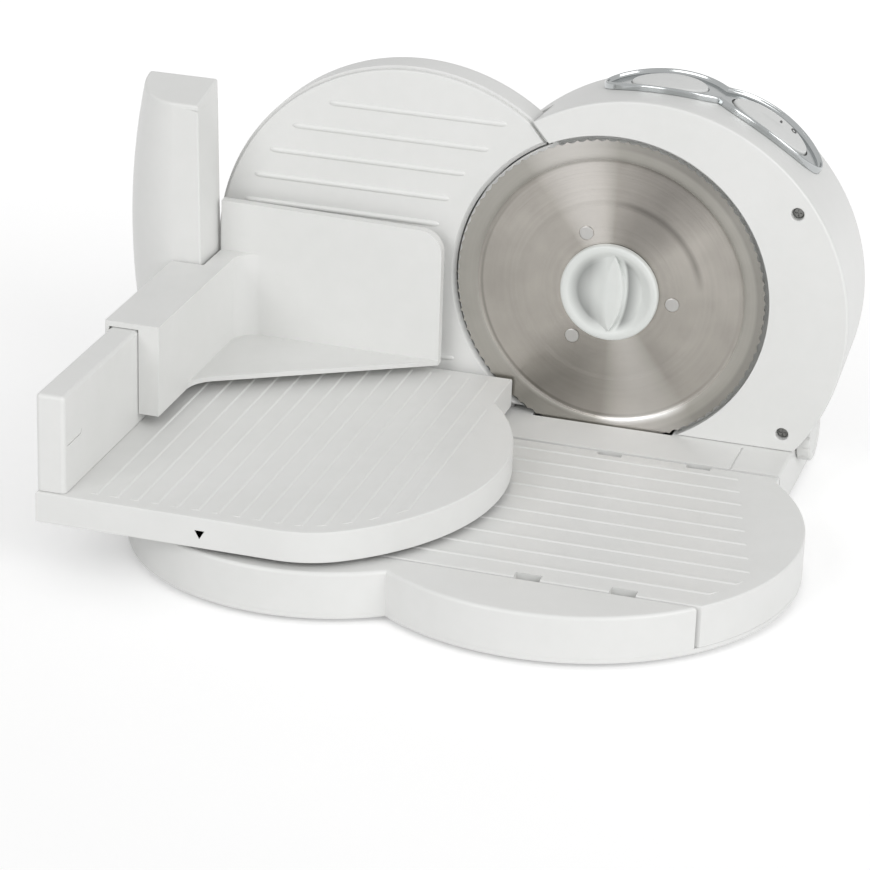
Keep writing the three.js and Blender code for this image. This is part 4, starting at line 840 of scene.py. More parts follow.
# the safety button comes first, then the rocker
controls = {
    "y": 48.2, "turns": (89.2, 59.2), "keys": ((23, 17), (26.2, 17)), "gap": 1.2, "through": (70, 180),
    "rooms": ((0.5, 0.5), (1.2, 0.6)), "bezel": (39.8, 24), "ringSides": 144, "ringsFrom": 175, "runOn": 24,
    # each ring: how far it lies inside the outline, and how high over the housing
    "rim": ((0, 0.3), (0, 2.6), (0.2, 3.4), (0.6, 3.95), (1.0, 4.1), (1.4, 3.95), (1.8, 3.4), (2.0, 2.6),
            (2.6, 1.8), (3.8, 1.4)),
    "windowHeights": (1.25, 0.3),
    "key": ((0, -7.5), (0, 1.5), (0.2, 2.2), (0.7, 2.65), (1.5, 2.8), (5, 2.85), (10, 2.85), (15, 2.85)),
    "peg": (2.5, (108.2, 118.5)), "pin": (118.2774, 58.4, 2, (23.3, 68.7)),
    # angle, y, half of its size and of its hole
    "marks": {"markOn": (57.6, 56, (0.8, 2.6), None), "markOff": (53.4, 58.5, (1.9, 2.6), (1.0, 1.6))},
    "markLift": 2.93,
}


def rimPlace(angle, radius, y):  # where a control stands, and how it is turned
    x, z = polar(upright["housing"], radius, angle)
    return {"location": at(x, y, z), "rotation": (0, math.radians(90) - math.radians(angle), 0)}


def oval(name, angle, half, span, sides=96, y=controls["y"]):  # an oval post through the rim of the housing
    quiet()
    bpy.ops.mesh.primitive_cylinder_add(
        vertices=sides, radius=1, depth=(span[1] - span[0]) / 1000, scale=(half[0] / 1000, half[1] / 1000, 1),
        **rimPlace(angle, sum(span) / 2, y))
    return settle(name)


def rimRing(name, angle, half, offset):  # an oval line that is laid on the drum of the housing
    target = housingForm("rimTarget", offset, upright["shellFront"], upright["back"] + controls["runOn"])
    quiet()
    bpy.ops.mesh.primitive_circle_add(
        vertices=controls["ringSides"], radius=1, **rimPlace(angle, controls["ringsFrom"], controls["y"]))
    ring = bpy.context.object
    ring.scale = (half[0] / 1000, half[1] / 1000, 1)
    change(ring, "SHRINKWRAP", target=target, wrap_method="PROJECT", use_project_z=True,
           use_positive_direction=False, use_negative_direction=True)
    settle(name)
    drop(target)
    return ring


def rimPiece(name, angle, rings, closed=False):  # oval lines on the housing, bridged one to the next
    piece, *others = [rimRing(name, angle, half, offset) for half, offset in rings]
    for ring in others:  # one at a time, so that their points stay in order
        gather(piece, [ring])
    last = len(rings) - 1
    pairs = [(i, i + 1) for i in range(last)] + ([(last, 0)] if closed else [])
    for pair in pairs:
        pick(piece, "EDGE", lambda e: all(v.index // controls["ringSides"] in pair for v in e.verts))
        bpy.ops.mesh.bridge_edge_loops()
        leave()
    if not closed:
        pick(piece, "EDGE", lambda e: len(e.link_faces) == 1)
        bpy.ops.mesh.edge_face_add()
        leave()
    pickAll(piece)
    bpy.ops.mesh.normals_make_consistent(inside=False)
    leave()
    return piece


def ringsIn(half, steps):  # the rings of an outline
    return [((half[0] - amount, half[1] - amount), offset) for amount, offset in steps]


housingSizes = {
    "frontRound": 0.4, "holeRound": 0.5, "gaugeBack": 41.5, "gaugeGap": 1.5,
    "knobAt": (21, 35.5), "knobRoom": 17.6, "knobSide": (118, 250),
    "shaftSlot": ((100, 121), (18, 24), (30, 38.5)),
    "boss": 6.5, "bossFront": 7.3, "bossInset": 1.5, "bossHole": (1.8, (6.3, 25.3)), "postRoom": 5.8,
    "pillars": ((-14, -30), (-14, 28), (88, 28), (88, -30)), "pillar": (5, 68.3),
    "pillarHole": (1.8, (65, 77)), "panGap": 0.5, "panBack": 38.5,
    "vents": 8, "ventPitch": 8, "ventWidth": 3, "ventHeight": 36, "ventAt": (66, 91), "ventRound": 0.98,
    "gland": (92, 48), "glandHole": 5.3,
    "glandShape": ((3.2, 76), (5, 76), (5, 82.3), (7.4, 82.3), (8, 82.9), (8, 84.2), (7.4, 84.9), (5.6, 85.6),
                   (5, 88), (4.4, 88.3), (3.6, 88.3), (3.2, 87.8), (3.2, 76)),  # radius and y
}


def makeHousing():
    sizes = housingSizes
    front, back, wall = upright["shellFront"], upright["back"], upright["wall"]
    gap, deep = sizes["gaugeGap"], sizes["gaugeBack"]
    shell = housingForm("rearHousing", 0, front, back)
    carve(shell, gaugeRoom("shellRoom", gap, (front - 1, deep)))
    trim(shell, below=upright["low"])
    tidy(shell, 0.1)
    bevelEdges(shell, sizes["frontRound"], 2, sharpAt(y=front))
    room = housingForm("housingRoom", -wall, front - 1, back - wall)
    carve(room, gaugeRoom("roomWall", gap + wall, (front - 2, deep + wall)))
    left, right = sizes["knobSide"]
    radius = sizes["knobRoom"]
    carve(room, drum("knobGuard", "X", sizes["knobAt"], radius + wall, (left - wall, right), 96))
    carve(shell, room)
    carve(shell, drum("knobRoom", "X", sizes["knobAt"], radius, (left, right), 96))
    inside = back - wall + 1
    radius, span = sizes["bossHole"]
    for place in screwSpots():
        boss = drum("faceBoss", "Y", place, sizes["boss"], (sizes["bossFront"], inside), 48)
        fuse(shell, within(boss, housingForm("bossForm", -sizes["bossInset"], front, back)))
        carve(shell, drum("bossHole", "Y", place, radius, span, 24))
    pillar, start = sizes["pillar"]
    radius, span = sizes["pillarHole"]
    for x, up in sizes["pillars"]:
        place = (x, bladeAxis[1] + up)
        fuse(shell, drum("pillar", "Y", place, pillar, (start, inside), 40))
        carve(shell, drum("pillarHole", "Y", place, radius, span, 24))
    pan = plateSizes["pan"] + sizes["panGap"]
    carve(shell, drum("panSpace", "Y", bladeAxis, pan, (front - 1, sizes["panBack"]), 192))
    x, z = sizes["ventAt"]
    half, heights = sizes["ventWidth"] / 2, about(z, sizes["ventHeight"] / 2)
    for i in range(sizes["vents"]):
        middle = x + (i - (sizes["vents"] - 1) / 2) * sizes["ventPitch"]
        slot = block("vent", about(middle, half), past((back - wall, back), 2), heights)
        bevelEdges(slot, half * sizes["ventRound"], 5, lambda e: near(spot(e)[1], back - wall / 2, 1.5))
        carve(shell, slot)
    carve(shell, drum("glandHole", "Y", sizes["gland"], sizes["glandHole"], past((back - wall, back), 1), 48))
    carve(shell, block("shaftSlot", *sizes["shaftSlot"]))
    for angle, key in zip(controls["turns"], controls["keys"]):
        half = [part + controls["gap"] for part in key]
        carve(shell, oval("controlWindow", angle, half, controls["through"]))
    for place in screwSpots():
        carve(shell, drum("postRoom", "Y", place, sizes["postRoom"], (front - 1, sizes["bossFront"]), 48))
    tidy(shell, 0.02)
    bevelEdges(shell, sizes["holeRound"], 2, sharpAt(y=back))
    hand(smooth(shell), "base", "rear_housing")

    gland = lathe("cordGland", "Y", sizes["gland"], sizes["glandShape"], 64, close=True)
    hand(smooth(gland), "base", "cord_gland", "dark")
    print("housing done")


def makeControls():
    turns, keys = controls["turns"], controls["keys"]
    x, z = upright["housing"]
    middle = math.radians(sum(turns) / 2)
    halves = []
    for angle, side, key, room in zip(turns, (-1, 1), keys, controls["rooms"]):  # the two ovals meet halfway
        window = (key[0] + room[0], key[1] + room[1])
        inner = [(window, up) for up in controls["windowHeights"]]
        rings = ringsIn(controls["bezel"], controls["rim"]) + inner
        half = rimPiece("controlBezel", angle, rings, closed=True)
        pickAll(half)
        away = (-side * math.sin(middle), 0, side * math.cos(middle))
        bpy.ops.mesh.bisect(plane_co=at(x, 0, z), plane_no=away, use_fill=True, clear_outer=True)
        bpy.ops.mesh.mark_sharp()  # the cut stays selected, and its outline must not be shaded round
        bpy.ops.mesh.select_all(action="SELECT")
        bpy.ops.mesh.normals_make_consistent(inside=False)
        leave()
        halves.append(half)
    hand(smooth(gather(halves[0], halves[1:]), 50), "base", "control_bezel", "chrome")

    radius, span = controls["peg"]
    peg = oval("buttonPeg", turns[0], (radius, radius), span, 32)
    reach, angle, radius, span = controls["pin"]
    pin = drum("rockerPin", "Y", polar(upright["housing"], reach, angle), radius, span, 32)
    for name, body, node, angle, key, post in (
            ("safetyButton", "button", "safety_button", turns[0], keys[0], peg),
            ("powerRocker", "rocker", "power_rocker", turns[1], keys[1], pin)):
        piece = fuse(rimPiece(name, angle, ringsIn(key, controls["key"])), post)
        hand(smooth(piece, 40), body, node, finish="insert")

    lineY = controls["marks"]["markOn"][1]
    r = upright["frontRadius"] - upright["taper"] * (lineY - upright["shellFront"]) + controls["markLift"]
    for name, (angle, y, half, hole) in controls["marks"].items():
        sign = oval(name, angle, half, (r - 0.5, r), 40, y)
        if hole:
            carve(sign, oval("markHole", angle, hole, about(r, 1), 40, y))
        hand(sign, "rocker", None, "mark")
    print("controls done")


# thickness gauge
gaugeSizes = {
    "span": (1.5, 4.5), "step": 2, "opening": 96.5, "chamfer": 2.4, "bottom": 33.5, "round": 0.9,
    "shell": (4.8, 25), "skin": 3, "shellRound": 2.2, "shellEdge": 0.5,
    "leg": ((-112, -58), (8, 18), (20, 36.5)),
    "ribTop": 212.3, "ribPitch": 17, "ribs": 10, "ribInset": 14, "ribRadius": 2.0, "ribSink": 0.8,
    "ribEnd": ((0.15, 0), (0.5, 0.5), (0.78, 1.5), (0.94, 3), (1, 5)),  # share of the radius, and how far in
}


def gaugeShape(name, grow, span, opening=None):
    return trim(gaugeRoom(name, grow, span, opening), below=gaugeSizes["bottom"] - grow)


def ribSpan(z):  # a rib keeps clear of the rim, of the blade's opening and of the seam
    inset = gaugeSizes["ribInset"]
    gx, gz = upright["gauge"]
    start = gx - math.sqrt((upright["rim"] - inset) ** 2 - (z - gz) ** 2)
    reach = (upright["opening"] + inset) ** 2 - (z - bladeAxis[1]) ** 2
    end = bladeAxis[0] - math.sqrt(max(reach, 0))
    x, top = seamPoint()
    tilt = math.radians(upright["seamTilt"])
    seam = x - (inset + (z - top) * math.sin(tilt)) / math.cos(tilt)
    return start, min(end, seam)


def makeGauge():
    sizes = gaugeSizes
    front, wide, slope = sizes["span"][0], sizes["opening"], sizes["chamfer"]
    plate = tidy(gaugeShape("gaugePlate", -sizes["step"], sizes["span"], wide), 0.15)
    chamfer = ((wide + slope + 1, front - 1), (wide - 1, front + slope + 1))
    carve(plate, lathe("bladeChamfer", "Y", bladeAxis, chamfer, 250))
    r, deep = sizes["ribRadius"], front + sizes["ribSink"]
    bars = []
    for i in range(sizes["ribs"]):  # round bars with drawn-in ends, half sunk in the plate
        z = sizes["ribTop"] - i * sizes["ribPitch"]
        x0, x1 = ribSpan(z)
        ends = [(share * r, x0 + far) for share, far in sizes["ribEnd"]]
        ends += [(share * r, x1 - far) for share, far in reversed(sizes["ribEnd"])]
        bars.append(lathe("gaugeRib", "X", (deep, z), ends, 28))
    fuse(plate, gather(bars[0], bars[1:]))
    tidy(plate, 0.02)
    bevelEdges(plate, sizes["round"], 3, sharpAt(75, y=front))
    hand(smooth(plate, 40), "gauge", "gauge_front_plate")

    low, high = sizes["shell"]
    shell = tidy(gaugeShape("gaugeShell", 0, (low, high)), 0.15)
    bevelEdges(shell, sizes["shellRound"], 4, sharpAt(y=high))
    bevelEdges(shell, sizes["shellEdge"], 2, sharpAt(y=low))
    carve(shell, gaugeShape("gaugeInside", -sizes["skin"], (low - 1, high - sizes["skin"])))
    fuse(shell, block("gaugeLeg", *sizes["leg"]))
    hand(smooth(tidy(shell, 0.02)), "gauge", "gauge_rear_shell")
    print("gauge done")


# blade and its lock knob
bladeSizes = {
    "radius": 95, "edge": (0.05, 0.3), "scallops": 96, "points": 8, "depth": 1.3,
    "back": (80, 2.6), "bore": 9,
    # radius and y of the stamped steps, from the edge to the hub
    "steps": ((92.5, 0.07), (88.5, 0.1), (86.2, 0.14), (84.6, 0.22), (83.4, 0.42), (82.4, 0.72), (81.2, 1.2),
              (80.7, 1.32), (79.9, 1.36), (57.6, 1.36), (56.9, 1.38), (54.7, 1.53), (54, 1.55)),
    "rivets": (38.4, (115, 235, 355)), "rivetSeat": ((4.6, 0), (4.6, 1.9), (2.15, 1.9), (2.15, 4)),
    "rivet": ((3.6, 0.74), (3.95, 0.78), (4.15, 0.92), (4.15, 1.8), (2.0, 1.8), (2.0, 5.9), (4.0, 5.9),
              (4.0, 6.4), (3.4, 6.6)),
    "rivetDish": (0.9, 0.06),
}


def makeBlade():
    sizes = bladeSizes
    x, z = bladeAxis
    r, points = sizes["radius"], sizes["points"]
    sides = sizes["scallops"] * points
    step = 2 * math.pi / sides
    front, behind = sizes["edge"]
    bore = [(sizes["bore"], y) for y in (sizes["steps"][-1][1], sizes["back"][1])]
    shape = ((r, front), *sizes["steps"], *bore, sizes["back"], (r, behind), (r, front))
    blade = lathe("slicingBlade", "Y", bladeAxis, shape, sides, close=True)

    def onRim(vertex, point):
        vx, _, vz = spot(vertex)
        atRim = math.hypot(vx - x, vz - z) >= r - 0.01
        return atRim and round(math.atan2(vz - z, vx - x) / step) % points == point

    for point in range(1, points):  # the edge is drawn in between the tips
        pick(blade, "VERT", lambda v: onRim(v, point))
        inward = 1 - sizes["depth"] * math.sin(math.pi * point / points) / r
        bpy.ops.transform.resize(value=(inward, 1, inward), center_override=at(x, 0, z))
        leave()
    reach, turns = sizes["rivets"]
    places = [polar(bladeAxis, reach, turn) for turn in turns]
    holes = [lathe("rivetHole", "Y", place, sizes["rivetSeat"], 40) for place in places]
    carve(blade, gather(holes[0], holes[1:]))
    hand(smooth(blade, 30), "blade", "slicing_blade", "blade")

    rivet = lathe("bladeRivet1", "Y", places[0], sizes["rivet"], 48)
    face = sizes["rivet"][0][1]
    pick(rivet, "FACE", lambda f: near(spot(f)[1], face, 0.02) and len(f.verts) > 8)
    edge, dish = sizes["rivetDish"]
    bpy.ops.mesh.inset(thickness=edge / 1000, depth=0)
    bpy.ops.transform.translate(value=(0, dish / 1000, 0))
    leave()
    for number, piece in enumerate(repeat(rivet, [(x, 0, z) for x, z in places]), 1):
        hand(smooth(piece, 40), "blade", f"blade_rivet_{number}", "rivet")
    print("blade done")


knobSizes = {
    "radius": 30, "back": 1.1, "front": -3.3, "rim": 4.2, "dish": (18.0, 0.5), "shaft": (8, 13.75),
    "finWidth": 31, "finLength": 51, "finFoot": 0.4, "finAt": -5, "ridgeTurn": -5,
    # each step of the grip: how far forward, how far to the right, how wide, how long
    "grip": ((-0.2, 2.2, 0.80, 0.985), (-1.1, 2.6, 0.60, 0.97), (-2.5, 1.9, 0.44, 0.955),
             (-3.3, 0.5, 0.34, 0.94), (-3.6, 0.1, 0.2, 0.92)),
}


def makeLockKnob():
    r, back, front = knobSizes["radius"], knobSizes["back"], knobSizes["front"]
    inner = r - knobSizes["rim"]
    dish, floor = knobSizes["dish"]
    shaft, end = knobSizes["shaft"]
    knob = lathe("lockKnob", "Y", bladeAxis, (
        (1.0, floor), (dish, floor), (dish + 1.6, floor - 0.15), (dish + 2.8, floor - 0.6),
        (inner - 1.2, front + 0.9), (inner - 0.2, front + 0.4), (inner + 0.7, front + 0.1),
        (inner + 1.6, front), (r - 1.9, front), (r - 0.9, front + 0.25), (r - 0.25, front + 0.8),
        (r, front + 1.6), (r, back), (shaft, back), (shaft, end)), 128)
    half, wide = knobSizes["finLength"] / 2, knobSizes["finWidth"] / 2
    bow = (half * half + wide * wide) / (2 * wide)  # two large rounds cross in the leaf shape of the grip
    x, z = bladeAxis
    x += knobSizes["finAt"]
    foot = knobSizes["finFoot"]
    grip = drum("gripLeaf", "Y", (x + bow - wide, z), bow, (foot, back - 0.2))
    within(grip, drum("gripOther", "Y", (x - bow + wide, z), bow, (foot - 2, back + 2)))
    pick(grip, "FACE", lambda f: near(spot(f)[1], foot) and f.normal.y < -0.9)
    place, width, length = foot, 1, 1
    turn = math.radians(knobSizes["ridgeTurn"] / len(knobSizes["grip"]))
    for forward, aside, wider, longer in knobSizes["grip"]:  # the leaf narrows towards its turned ridge
        bpy.ops.mesh.extrude_region_move(
            TRANSFORM_OT_translate={"value": (aside / 1000, (forward - place) / 1000, 0)})
        x += aside
        middle = at(x, 0, z)
        bpy.ops.transform.resize(value=(wider / width, 1, longer / length), center_override=middle)
        bpy.ops.transform.rotate(value=turn, orient_axis="Y", center_override=middle)
        place, width, length = forward, wider, longer
    leave()
    fuse(knob, grip)
    tidy(knob, 0.03)
    hand(smooth(knob, 48), "lock_knob", "blade_knob", finish="knob")
    print("lock knob done")


dial = {"radius": 16, "x": (118.5, 126.9), "flutes": 14, "flute": 0.7, "bore": (2.65, 5)}


def makeThicknessKnob():
    (x0, x1), r, middle = dial["x"], dial["radius"], housingSizes["knobAt"]
    knob = lathe("thicknessKnob", "X", middle, (
        (r - 0.8, x0), (r, x0 + 0.8), (r, x1 - 1.4), (r - 0.4, x1 - 0.5), (r - 1.4, x1 - 0.05), (r - 4.5, x1),
        (r - 5.2, x1 - 0.7), (3, x1 - 0.7)), 140)
    for i in range(dial["flutes"]):
        place = polar(middle, r, (i + 0.5) / dial["flutes"] * 360)
        carve(knob, drum("flute", "X", place, dial["flute"], (x0 + 3, x1 + 1), 24))
    radius, deep = dial["bore"]
    carve(knob, drum("shaftBore", "X", middle, radius, (x0 - 1, x0 + deep), 32))
    tidy(knob, 0.02)
    hand(smooth(knob, 36), "gauge_knob", "thickness_knob")
    print("thickness knob done")


# carriage
table = {
    "left": -259.5, "front": -260, "rear": -2.5, "tab": -57, "end": (-170.5, -132, 145.5), "blend": 60,
    "heights": (34.5, 53), "skin": 2.5, "round": 1.2, "underRound": 0.8, "travel": 190,
    "ribs": 15, "ribFirst": -232, "ribPitch": 12, "ribInset": 9,
    "ribHeight": 0.58, "ribSlope": 8.0, "ribRise": 2.2, "ribRound": 0.6,
    "grooves": ((-226, -1), (-39, 1)),  # y of each groove in the base, and its outer side
    "runner": ((-190, -76), (4.6, 7.6), 31.3), "hookShift": 27, "hook": 6.5,
    # across from the groove, and heights
    "hookParts": {"hookWeb": ((-0.7, 0.7), (19.5, 37)), "hookBridge": ((-0.7, 5.6), (33.25, 37)),
                  "hookToe": ((-2.3, 0.7), (19.5, 22))},
    "mark": (-161.9, 2.9, 0.2, (40.2, 45.2)),  # x, half its width, depth and heights
}


def tableOutline(name, inset, heights):
    x, y, r = table["end"]
    r -= inset
    left, front = table["left"] + inset, table["front"] + inset
    rear, tab, blend = table["rear"] - inset, table["tab"] - inset, table["blend"] - inset
    meet = y + math.sqrt(r * r - (tab - x) ** 2)
    end = drum(name, "Z", (x, y), r, past(heights, 2))
    trim(end, left=x, front=front, back=meet)
    fuse(end, block("tableRun", (left, x + 1), (front, rear), past(heights, 4)))
    fuse(end, block("tableTab", (left + 5, tab), (meet - 20, rear), past(heights, 6)))
    aside = y - front - blend  # the front edge runs into the round end by an arc
    cx, cy = x + math.sqrt((r - blend) ** 2 - aside ** 2), front + blend
    corner = block("frontCorner", (cx, cx + blend), (front - 5, cy), past(heights, 10))
    away = Vector((cx - x, cy - y, 0)).normalized()
    cut(corner, (cx, cy, 0), (-away.y, away.x, 0))
    carve(corner, drum("blendRound", "Z", (cx, cy), blend, past(heights, 12), 192))
    return level(carve(end, corner), heights)


def makeTable():
    low, top = table["heights"]
    body = tableOutline("carriageTable", 0, table["heights"])
    bevelEdges(body, table["round"], 3, sharpAt(50, z=top))
    bevelEdges(body, table["underRound"], 2, sharpAt(50, z=low))
    carve(body, tableOutline("tableRoom", table["skin"], (low - 2, top - table["skin"])))
    start, length = table["ribFirst"], (table["front"], table["rear"])
    ribs = ribRow("tableRib", table, "x", length, start + table["ribSlope"], start, top, table["ribPitch"])
    fuse(body, within(ribs, tableOutline("tableRibField", table["ribInset"], (top - 3, top + 3))))
    runnerX, runnerY, runnerLow = table["runner"]
    for groove, side in table["grooves"]:
        fuse(body, block("runner", runnerX, between(groove, side, *runnerY), (runnerLow, top - 1)))
        for notch in tray["notches"]:
            middle = notch - table["travel"] + table["hookShift"]
            span = about(middle, table["hook"])
            for name, (across, heights) in table["hookParts"].items():
                fuse(body, block(name, span, between(groove, side, *across), heights))
    tidy(body, 0.02)
    hand(smooth(body, 28), "carriage", "carriage_table")

    x, half, deep, (tip, brow) = table["mark"]
    y = table["front"]
    sign = block("indexMark", about(x, half), (y, y + deep), (tip, brow))
    pick(sign, "VERT", lambda v: spot(v)[2] < tip + 1)
    bpy.ops.transform.resize(value=(0.02, 1, 1), center_override=at(x, y, tip))
    bpy.ops.mesh.remove_doubles(threshold=0.0002)
    leave()
    hand(sign, "carriage", None, "ink")
    print("table done")


wallSizes = {
    "x": (-259.5, -242.2), "y": (-258, -43), "z": (53.3, 111.3), "corner": 2.8, "round": 2.4, "skin": 2.5,
    "slit": ((-254.1, -235.5), (80.7, 81.5)), "slitDepth": 0.8, "slitBend": 2.2,
}


def makeSideWall():
    x, y, z = wallSizes["x"], wallSizes["y"], wallSizes["z"]
    wall = block("sideWall", x, y, z)
    bevelEdges(wall, wallSizes["corner"], 4, liesAt(z=sum(z) / 2))
    bevelEdges(wall, wallSizes["round"], 6, sharpAt(z=z[1]))
    skin, bend = wallSizes["skin"], wallSizes["slitBend"] / 1000
    carve(wall, block("wallRoom", past(x, -skin), past(y, -skin), (z[0] - 1, z[1] - skin)))
    slit = block("slit", (x[1] - wallSizes["slitDepth"], x[1] + 1), *wallSizes["slit"])
    pick(slit, "FACE", lambda f: f.normal.y > 0.9)
    bpy.ops.mesh.extrude_region_move(TRANSFORM_OT_translate={"value": (0, bend, bend)})  # its end is bent up
    leave()
    carve(wall, slit)
    hand(smooth(wall), "carriage", "carriage_side_wall")
    print("side wall done")


guardSizes = {
    "right": -242.8, "frontLeft": -261.3, "left": -299.9, "front": -42.7, "back": -8, "bottom": 53.3,
    "top": (214.5, 222), "bottomLeft": -292, "topLeft": -290, "topRight": -246.5, "skin": 3, "levels": 14,
    "round": 1.6, "sideRound": 1.0,
}


def guardForm(name, inset):
    g = guardSizes
    right, left, middle = g["right"] - inset, g["left"] + inset, g["frontLeft"] + inset
    front, back = g["front"] + inset, g["back"] - inset
    low, high = g["bottom"] - (1 if inset else 0), g["top"][1] - inset
    form = drum(name, "Z", (middle, back), 1, (low, high), 96)
    pickAll(form)
    bpy.ops.transform.resize(value=(middle - left, back - front, 1), center_override=at(middle, back, 0))
    leave()
    trim(form, right=middle, back=back)
    fuse(form, block("guardFlat", (middle - 0.5, right), (front, back), (low, high)))
    tidy(form, 0.1)
    for i in range(1, g["levels"]):
        pickAll(form)
        bpy.ops.mesh.bisect(plane_co=at(0, 0, low + (high - low) * i / g["levels"]), plane_no=(0, 0, 1))
        leave()
    start, end = g["bottomLeft"] + inset, g["topLeft"] + inset
    bulge = 2 * left - (g["topLeft"] + g["bottomLeft"]) / 2 - inset
    for i in range(g["levels"] + 1):  # the left side bulges, the right side leans
        share = i / g["levels"]
        z = low + (high - low) * share
        reach = (1 - share) ** 2 * start + 2 * share * (1 - share) * bulge + share ** 2 * end
        if pick(form, "VERT", lambda v: near(spot(v)[2], z) and spot(v)[0] < middle - 0.2):
            grow = (middle - reach) / (middle - left)
            bpy.ops.transform.resize(value=(grow, 1, 1), center_override=at(middle, back, z))
        leave()
        if pick(form, "VERT", liesAt(x=right, z=z)):
            bpy.ops.transform.translate(value=((g["topRight"] - g["right"]) * share / 1000, 0, 0))
        leave()
    rise = (g["top"][1] - g["top"][0]) / (g["back"] - g["front"])
    return cut(form, (0, g["back"], g["top"][1] - inset), (0, -rise, 1))


def makeGuard():
    guard = guardForm("thumbGuard", 0)
    brow = guardSizes["top"][0] - 1
    bevelEdges(guard, guardSizes["round"], 4, lambda e: spot(e)[2] > brow and sharp(e, 50))
    bevelEdges(guard, guardSizes["sideRound"], 3,
               lambda e: sharp(e, 50) and abs(e.verts[0].co.z - e.verts[1].co.z) > 0.003)
    carve(guard, guardForm("guardRoom", guardSizes["skin"]))
    hand(smooth(guard, 40), "carriage", "thumb_guard")
    print("guard done")


pusherSizes = {
    "leg": (-241.7, -229.2), "front": -150, "plate": (-14, -8), "right": -101, "top": 147, "drop": 2.5,
    "corner": 14, "bottom": 59.5, "saddleTop": 115.2, "saddle": 3.4, "stop": -44,
    "lip": (-262.3, -260), "lipDrop": 18, "fillet": 14, "reach": -94, "shelf": 3, "sweep": 22,
    "legSkin": 2.3, "legEnd": 12.5, "round": 0.9, "through": (40, 130),
    "spikeColumns": 5, "spikeRows": 2, "spikePitch": (24, 30),
    "spike": ((1.6, -1), (1.6, 0.1), (0.9, 1.3), (0.2, 2.4)),  # radius, and how far out of the plate
}


def makePusher():
    p = pusherSizes
    x0, x1 = p["leg"]
    y0, y1 = p["plate"]
    bottom, brow, run = p["bottom"], p["saddleTop"], (p["front"], p["stop"])
    body = block("foodPusher", (x0, x1), (p["front"], y0 + 1), (bottom, brow))
    fuse(body, block("saddle", (p["lip"][0], x0 + 1), run, (brow - p["saddle"], brow)))
    fuse(body, block("lip", p["lip"], run, (brow - p["lipDrop"], brow)))
    plate = block("plate", (x0, p["right"]), (y0, y1), (bottom, p["top"]))
    pick(plate, "VERT", liesAt(x=p["right"], z=p["top"]))
    bpy.ops.transform.translate(value=(0, 0, -p["drop"] / 1000))
    leave()
    bevelEdges(plate, p["corner"], 12, liesAt(x=p["right"], z=p["top"] - p["drop"]))
    fuse(body, plate)
    fillet = p["fillet"]
    corner = block("innerCorner", (x1 - 1, x1 + fillet), (y0 - fillet, y0 + 1), past((bottom, brow), -0.02))
    carve(corner, drum("cornerRound", "Z", (x1 + fillet, y0 - fillet), fillet, p["through"], 128))
    fuse(body, corner)
    reach, sweep, heights = p["reach"], p["sweep"], (bottom, bottom + p["shelf"])
    shelf = block("shelf", (x1 - 1, p["right"]), (reach, y0 + 1), past(heights, 2))
    across = Vector((p["right"] - x1, y0 - reach, 0)).normalized()
    cut(shelf, (x1, reach, 0), (across.y, -across.x, 0))
    run = sweep * (1 - across.y) / across.x  # the free edge sweeps into the leg by an arc
    web = block(
        "sweep", (x1 - 1, x1 + run * across.x), (reach - run, reach + run * across.y), past(heights, 4))
    carve(web, drum("sweepRound", "Z", (x1 + sweep, reach - run), sweep, past(heights, 6), 128))
    fuse(body, level(fuse(shelf, web), heights, 0.2))
    skin = p["legSkin"]
    hollow = (p["front"] + skin, y0 - p["legEnd"])
    carve(body, block("legRoom", (x0 + skin, x1 - skin), hollow, (p["through"][0], brow - p["saddle"])))
    tidy(body, 0.03)
    change(body, "BEVEL", width=p["round"] / 1000, segments=3, limit_method="ANGLE",
           angle_limit=math.radians(40), use_clamp_overlap=True, miter_outer="MITER_ARC")
    columns, rows = p["spikeColumns"], p["spikeRows"]
    (wide, tall), spike = p["spikePitch"], [(radius, y1 + out) for radius, out in p["spike"]]
    x, z = (x1 + p["right"]) / 2, (bottom + p["top"] - p["drop"]) / 2
    first = lathe("spike1", "Y", (x - wide * (columns - 1) / 2, z - tall * (rows - 1) / 2), spike, 20)
    places = [(wide * column, 0, tall * row) for row in range(rows) for column in range(columns)]
    gather(body, list(repeat(first, places)))
    hand(smooth(body, 36), "pusher", "food_pusher")
    print("pusher done")


for make in (makeBase, makeTray, makeFacePlate, makeHousing, makeControls, makeGauge, makeBlade, makeLockKnob,
             makeThicknessKnob, makeTable, makeSideWall, makeGuard, makePusher):
    make()

# what stays as the frame made it
kept = {
    "steel": [f"{place}_screw_{i}" for place in ("floor", "bracket") for i in range(1, 5)] + [
        "motor_shaft", "motor_worm", "blade_axle", "gauge_slide_bar", "guide_rod_1", "guide_rod_2",
        "knob_shaft"],
    "sheet": ["motor_bracket"],
    "dark": ["safety_switch", "power_switch", "cooling_fan"],
    "motor": ["motor_can"],
    "bronze": ["worm_bush"],
    "nylon": ["drive_gear", "gauge_rack", "knob_pinion"],
}
for finishName, nodes in kept.items():
    for node in nodes:
        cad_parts[node].data.materials.clear()
        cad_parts[node].data.materials.append(finishes[finishName])
print("frame nodes dressed:", sum(len(nodes) for nodes in kept.values()))

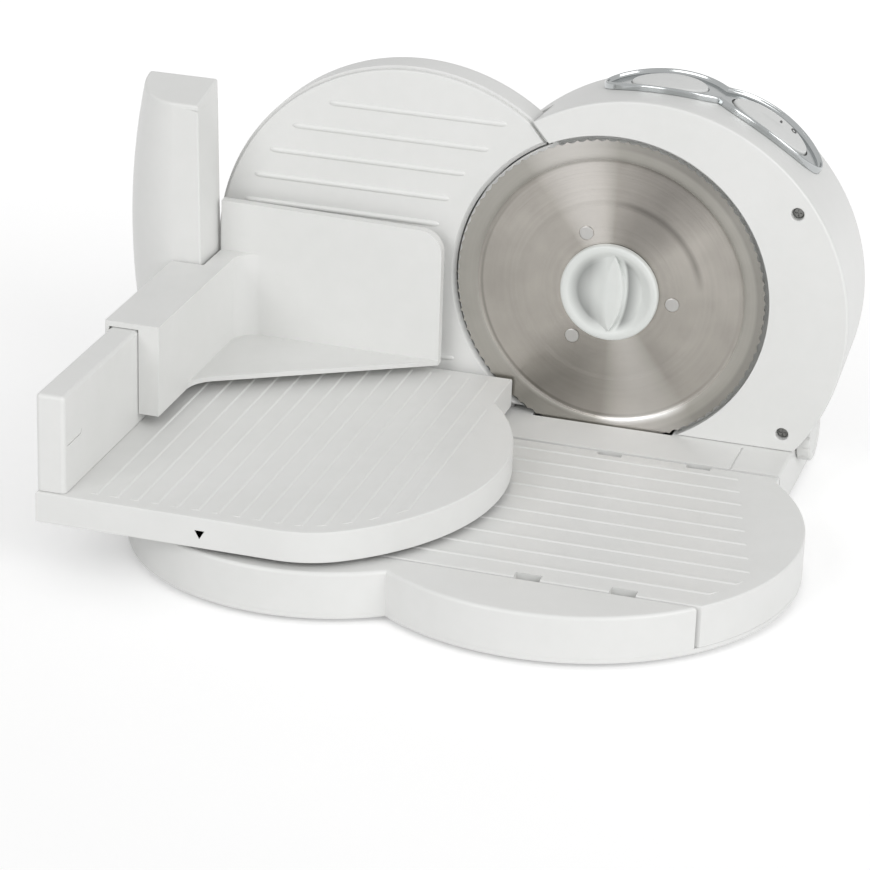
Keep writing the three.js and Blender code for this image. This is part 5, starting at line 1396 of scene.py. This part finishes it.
# floor, world and lamps; places and sizes in metres
studio = {
    "floorSize": 14, "floorTones": ((0.86, 0.86, 0.86), (0.88, 0.88, 0.88)), "grain": (6, 2.0, 0.55),
    "lift": (-0.45, 0.9, 0.22, 0.52),  # the floor looks paler from the first y to the second
    "ambient": 0.66, "aim": (0, 0, 0.1), "background": ("Camera", "Glossy", "Transmission"),
    "lamps": {"keySoftbox": ((-1.0, -2.2, 1.4), 1.4, 18), "fillSoftbox": ((2.1, -1.3, 1.3), 1.8, 30)},
}
quiet()
bpy.ops.mesh.primitive_plane_add(size=studio["floorSize"], location=(0, 0, 0))
ground = settle("studioFloor")
paleFloor = Finish("paleFloor")
plain = paleFloor.node("ShaderNodeBsdfDiffuse", None, {
    "Color": paleFloor.blend(paleFloor.noise(*studio["grain"]), *studio["floorTones"])})
deep = paleFloor.node("ShaderNodeSeparateXYZ", None, {0: paleFloor.place()}, out="Y")
glow = paleFloor.node("ShaderNodeEmission", None, {
    "Color": paleFloor.span(deep, *studio["lift"]), "Strength": 1.0})
none = paleFloor.node("ShaderNodeEmission", None, {"Strength": 0.0})
seen = paleFloor.rays(*studio["background"])
lift = paleFloor.node("ShaderNodeMixShader", None, {0: seen, 1: none, 2: glow})
paleFloor.node("ShaderNodeOutputMaterial", None, {
    "Surface": paleFloor.node("ShaderNodeAddShader", None, {0: plain, 1: lift})})
ground.data.materials.append(paleFloor.owner)

sky = Finish("softStudio", bpy.data.worlds)
strength = sky.span(sky.rays(*studio["background"]), 0.0, 1.0, studio["ambient"], 1.0)
light = sky.node("ShaderNodeBackground", None, {"Strength": strength})
sky.node("ShaderNodeOutputWorld", None, {"Surface": light})
bpy.context.scene.world = sky.owner

for name, (place, size, power) in studio["lamps"].items():
    quiet()
    bpy.ops.object.light_add(type="AREA", location=place)
    lamp = bpy.context.object
    lamp.name = name
    lamp.data.size = size
    lamp.data.energy = power
    lamp.rotation_euler = (Vector(studio["aim"]) - Vector(place)).to_track_quat("-Z", "Y").to_euler()
bpy.context.scene.view_settings.view_transform = "Standard"
print("studio ready")
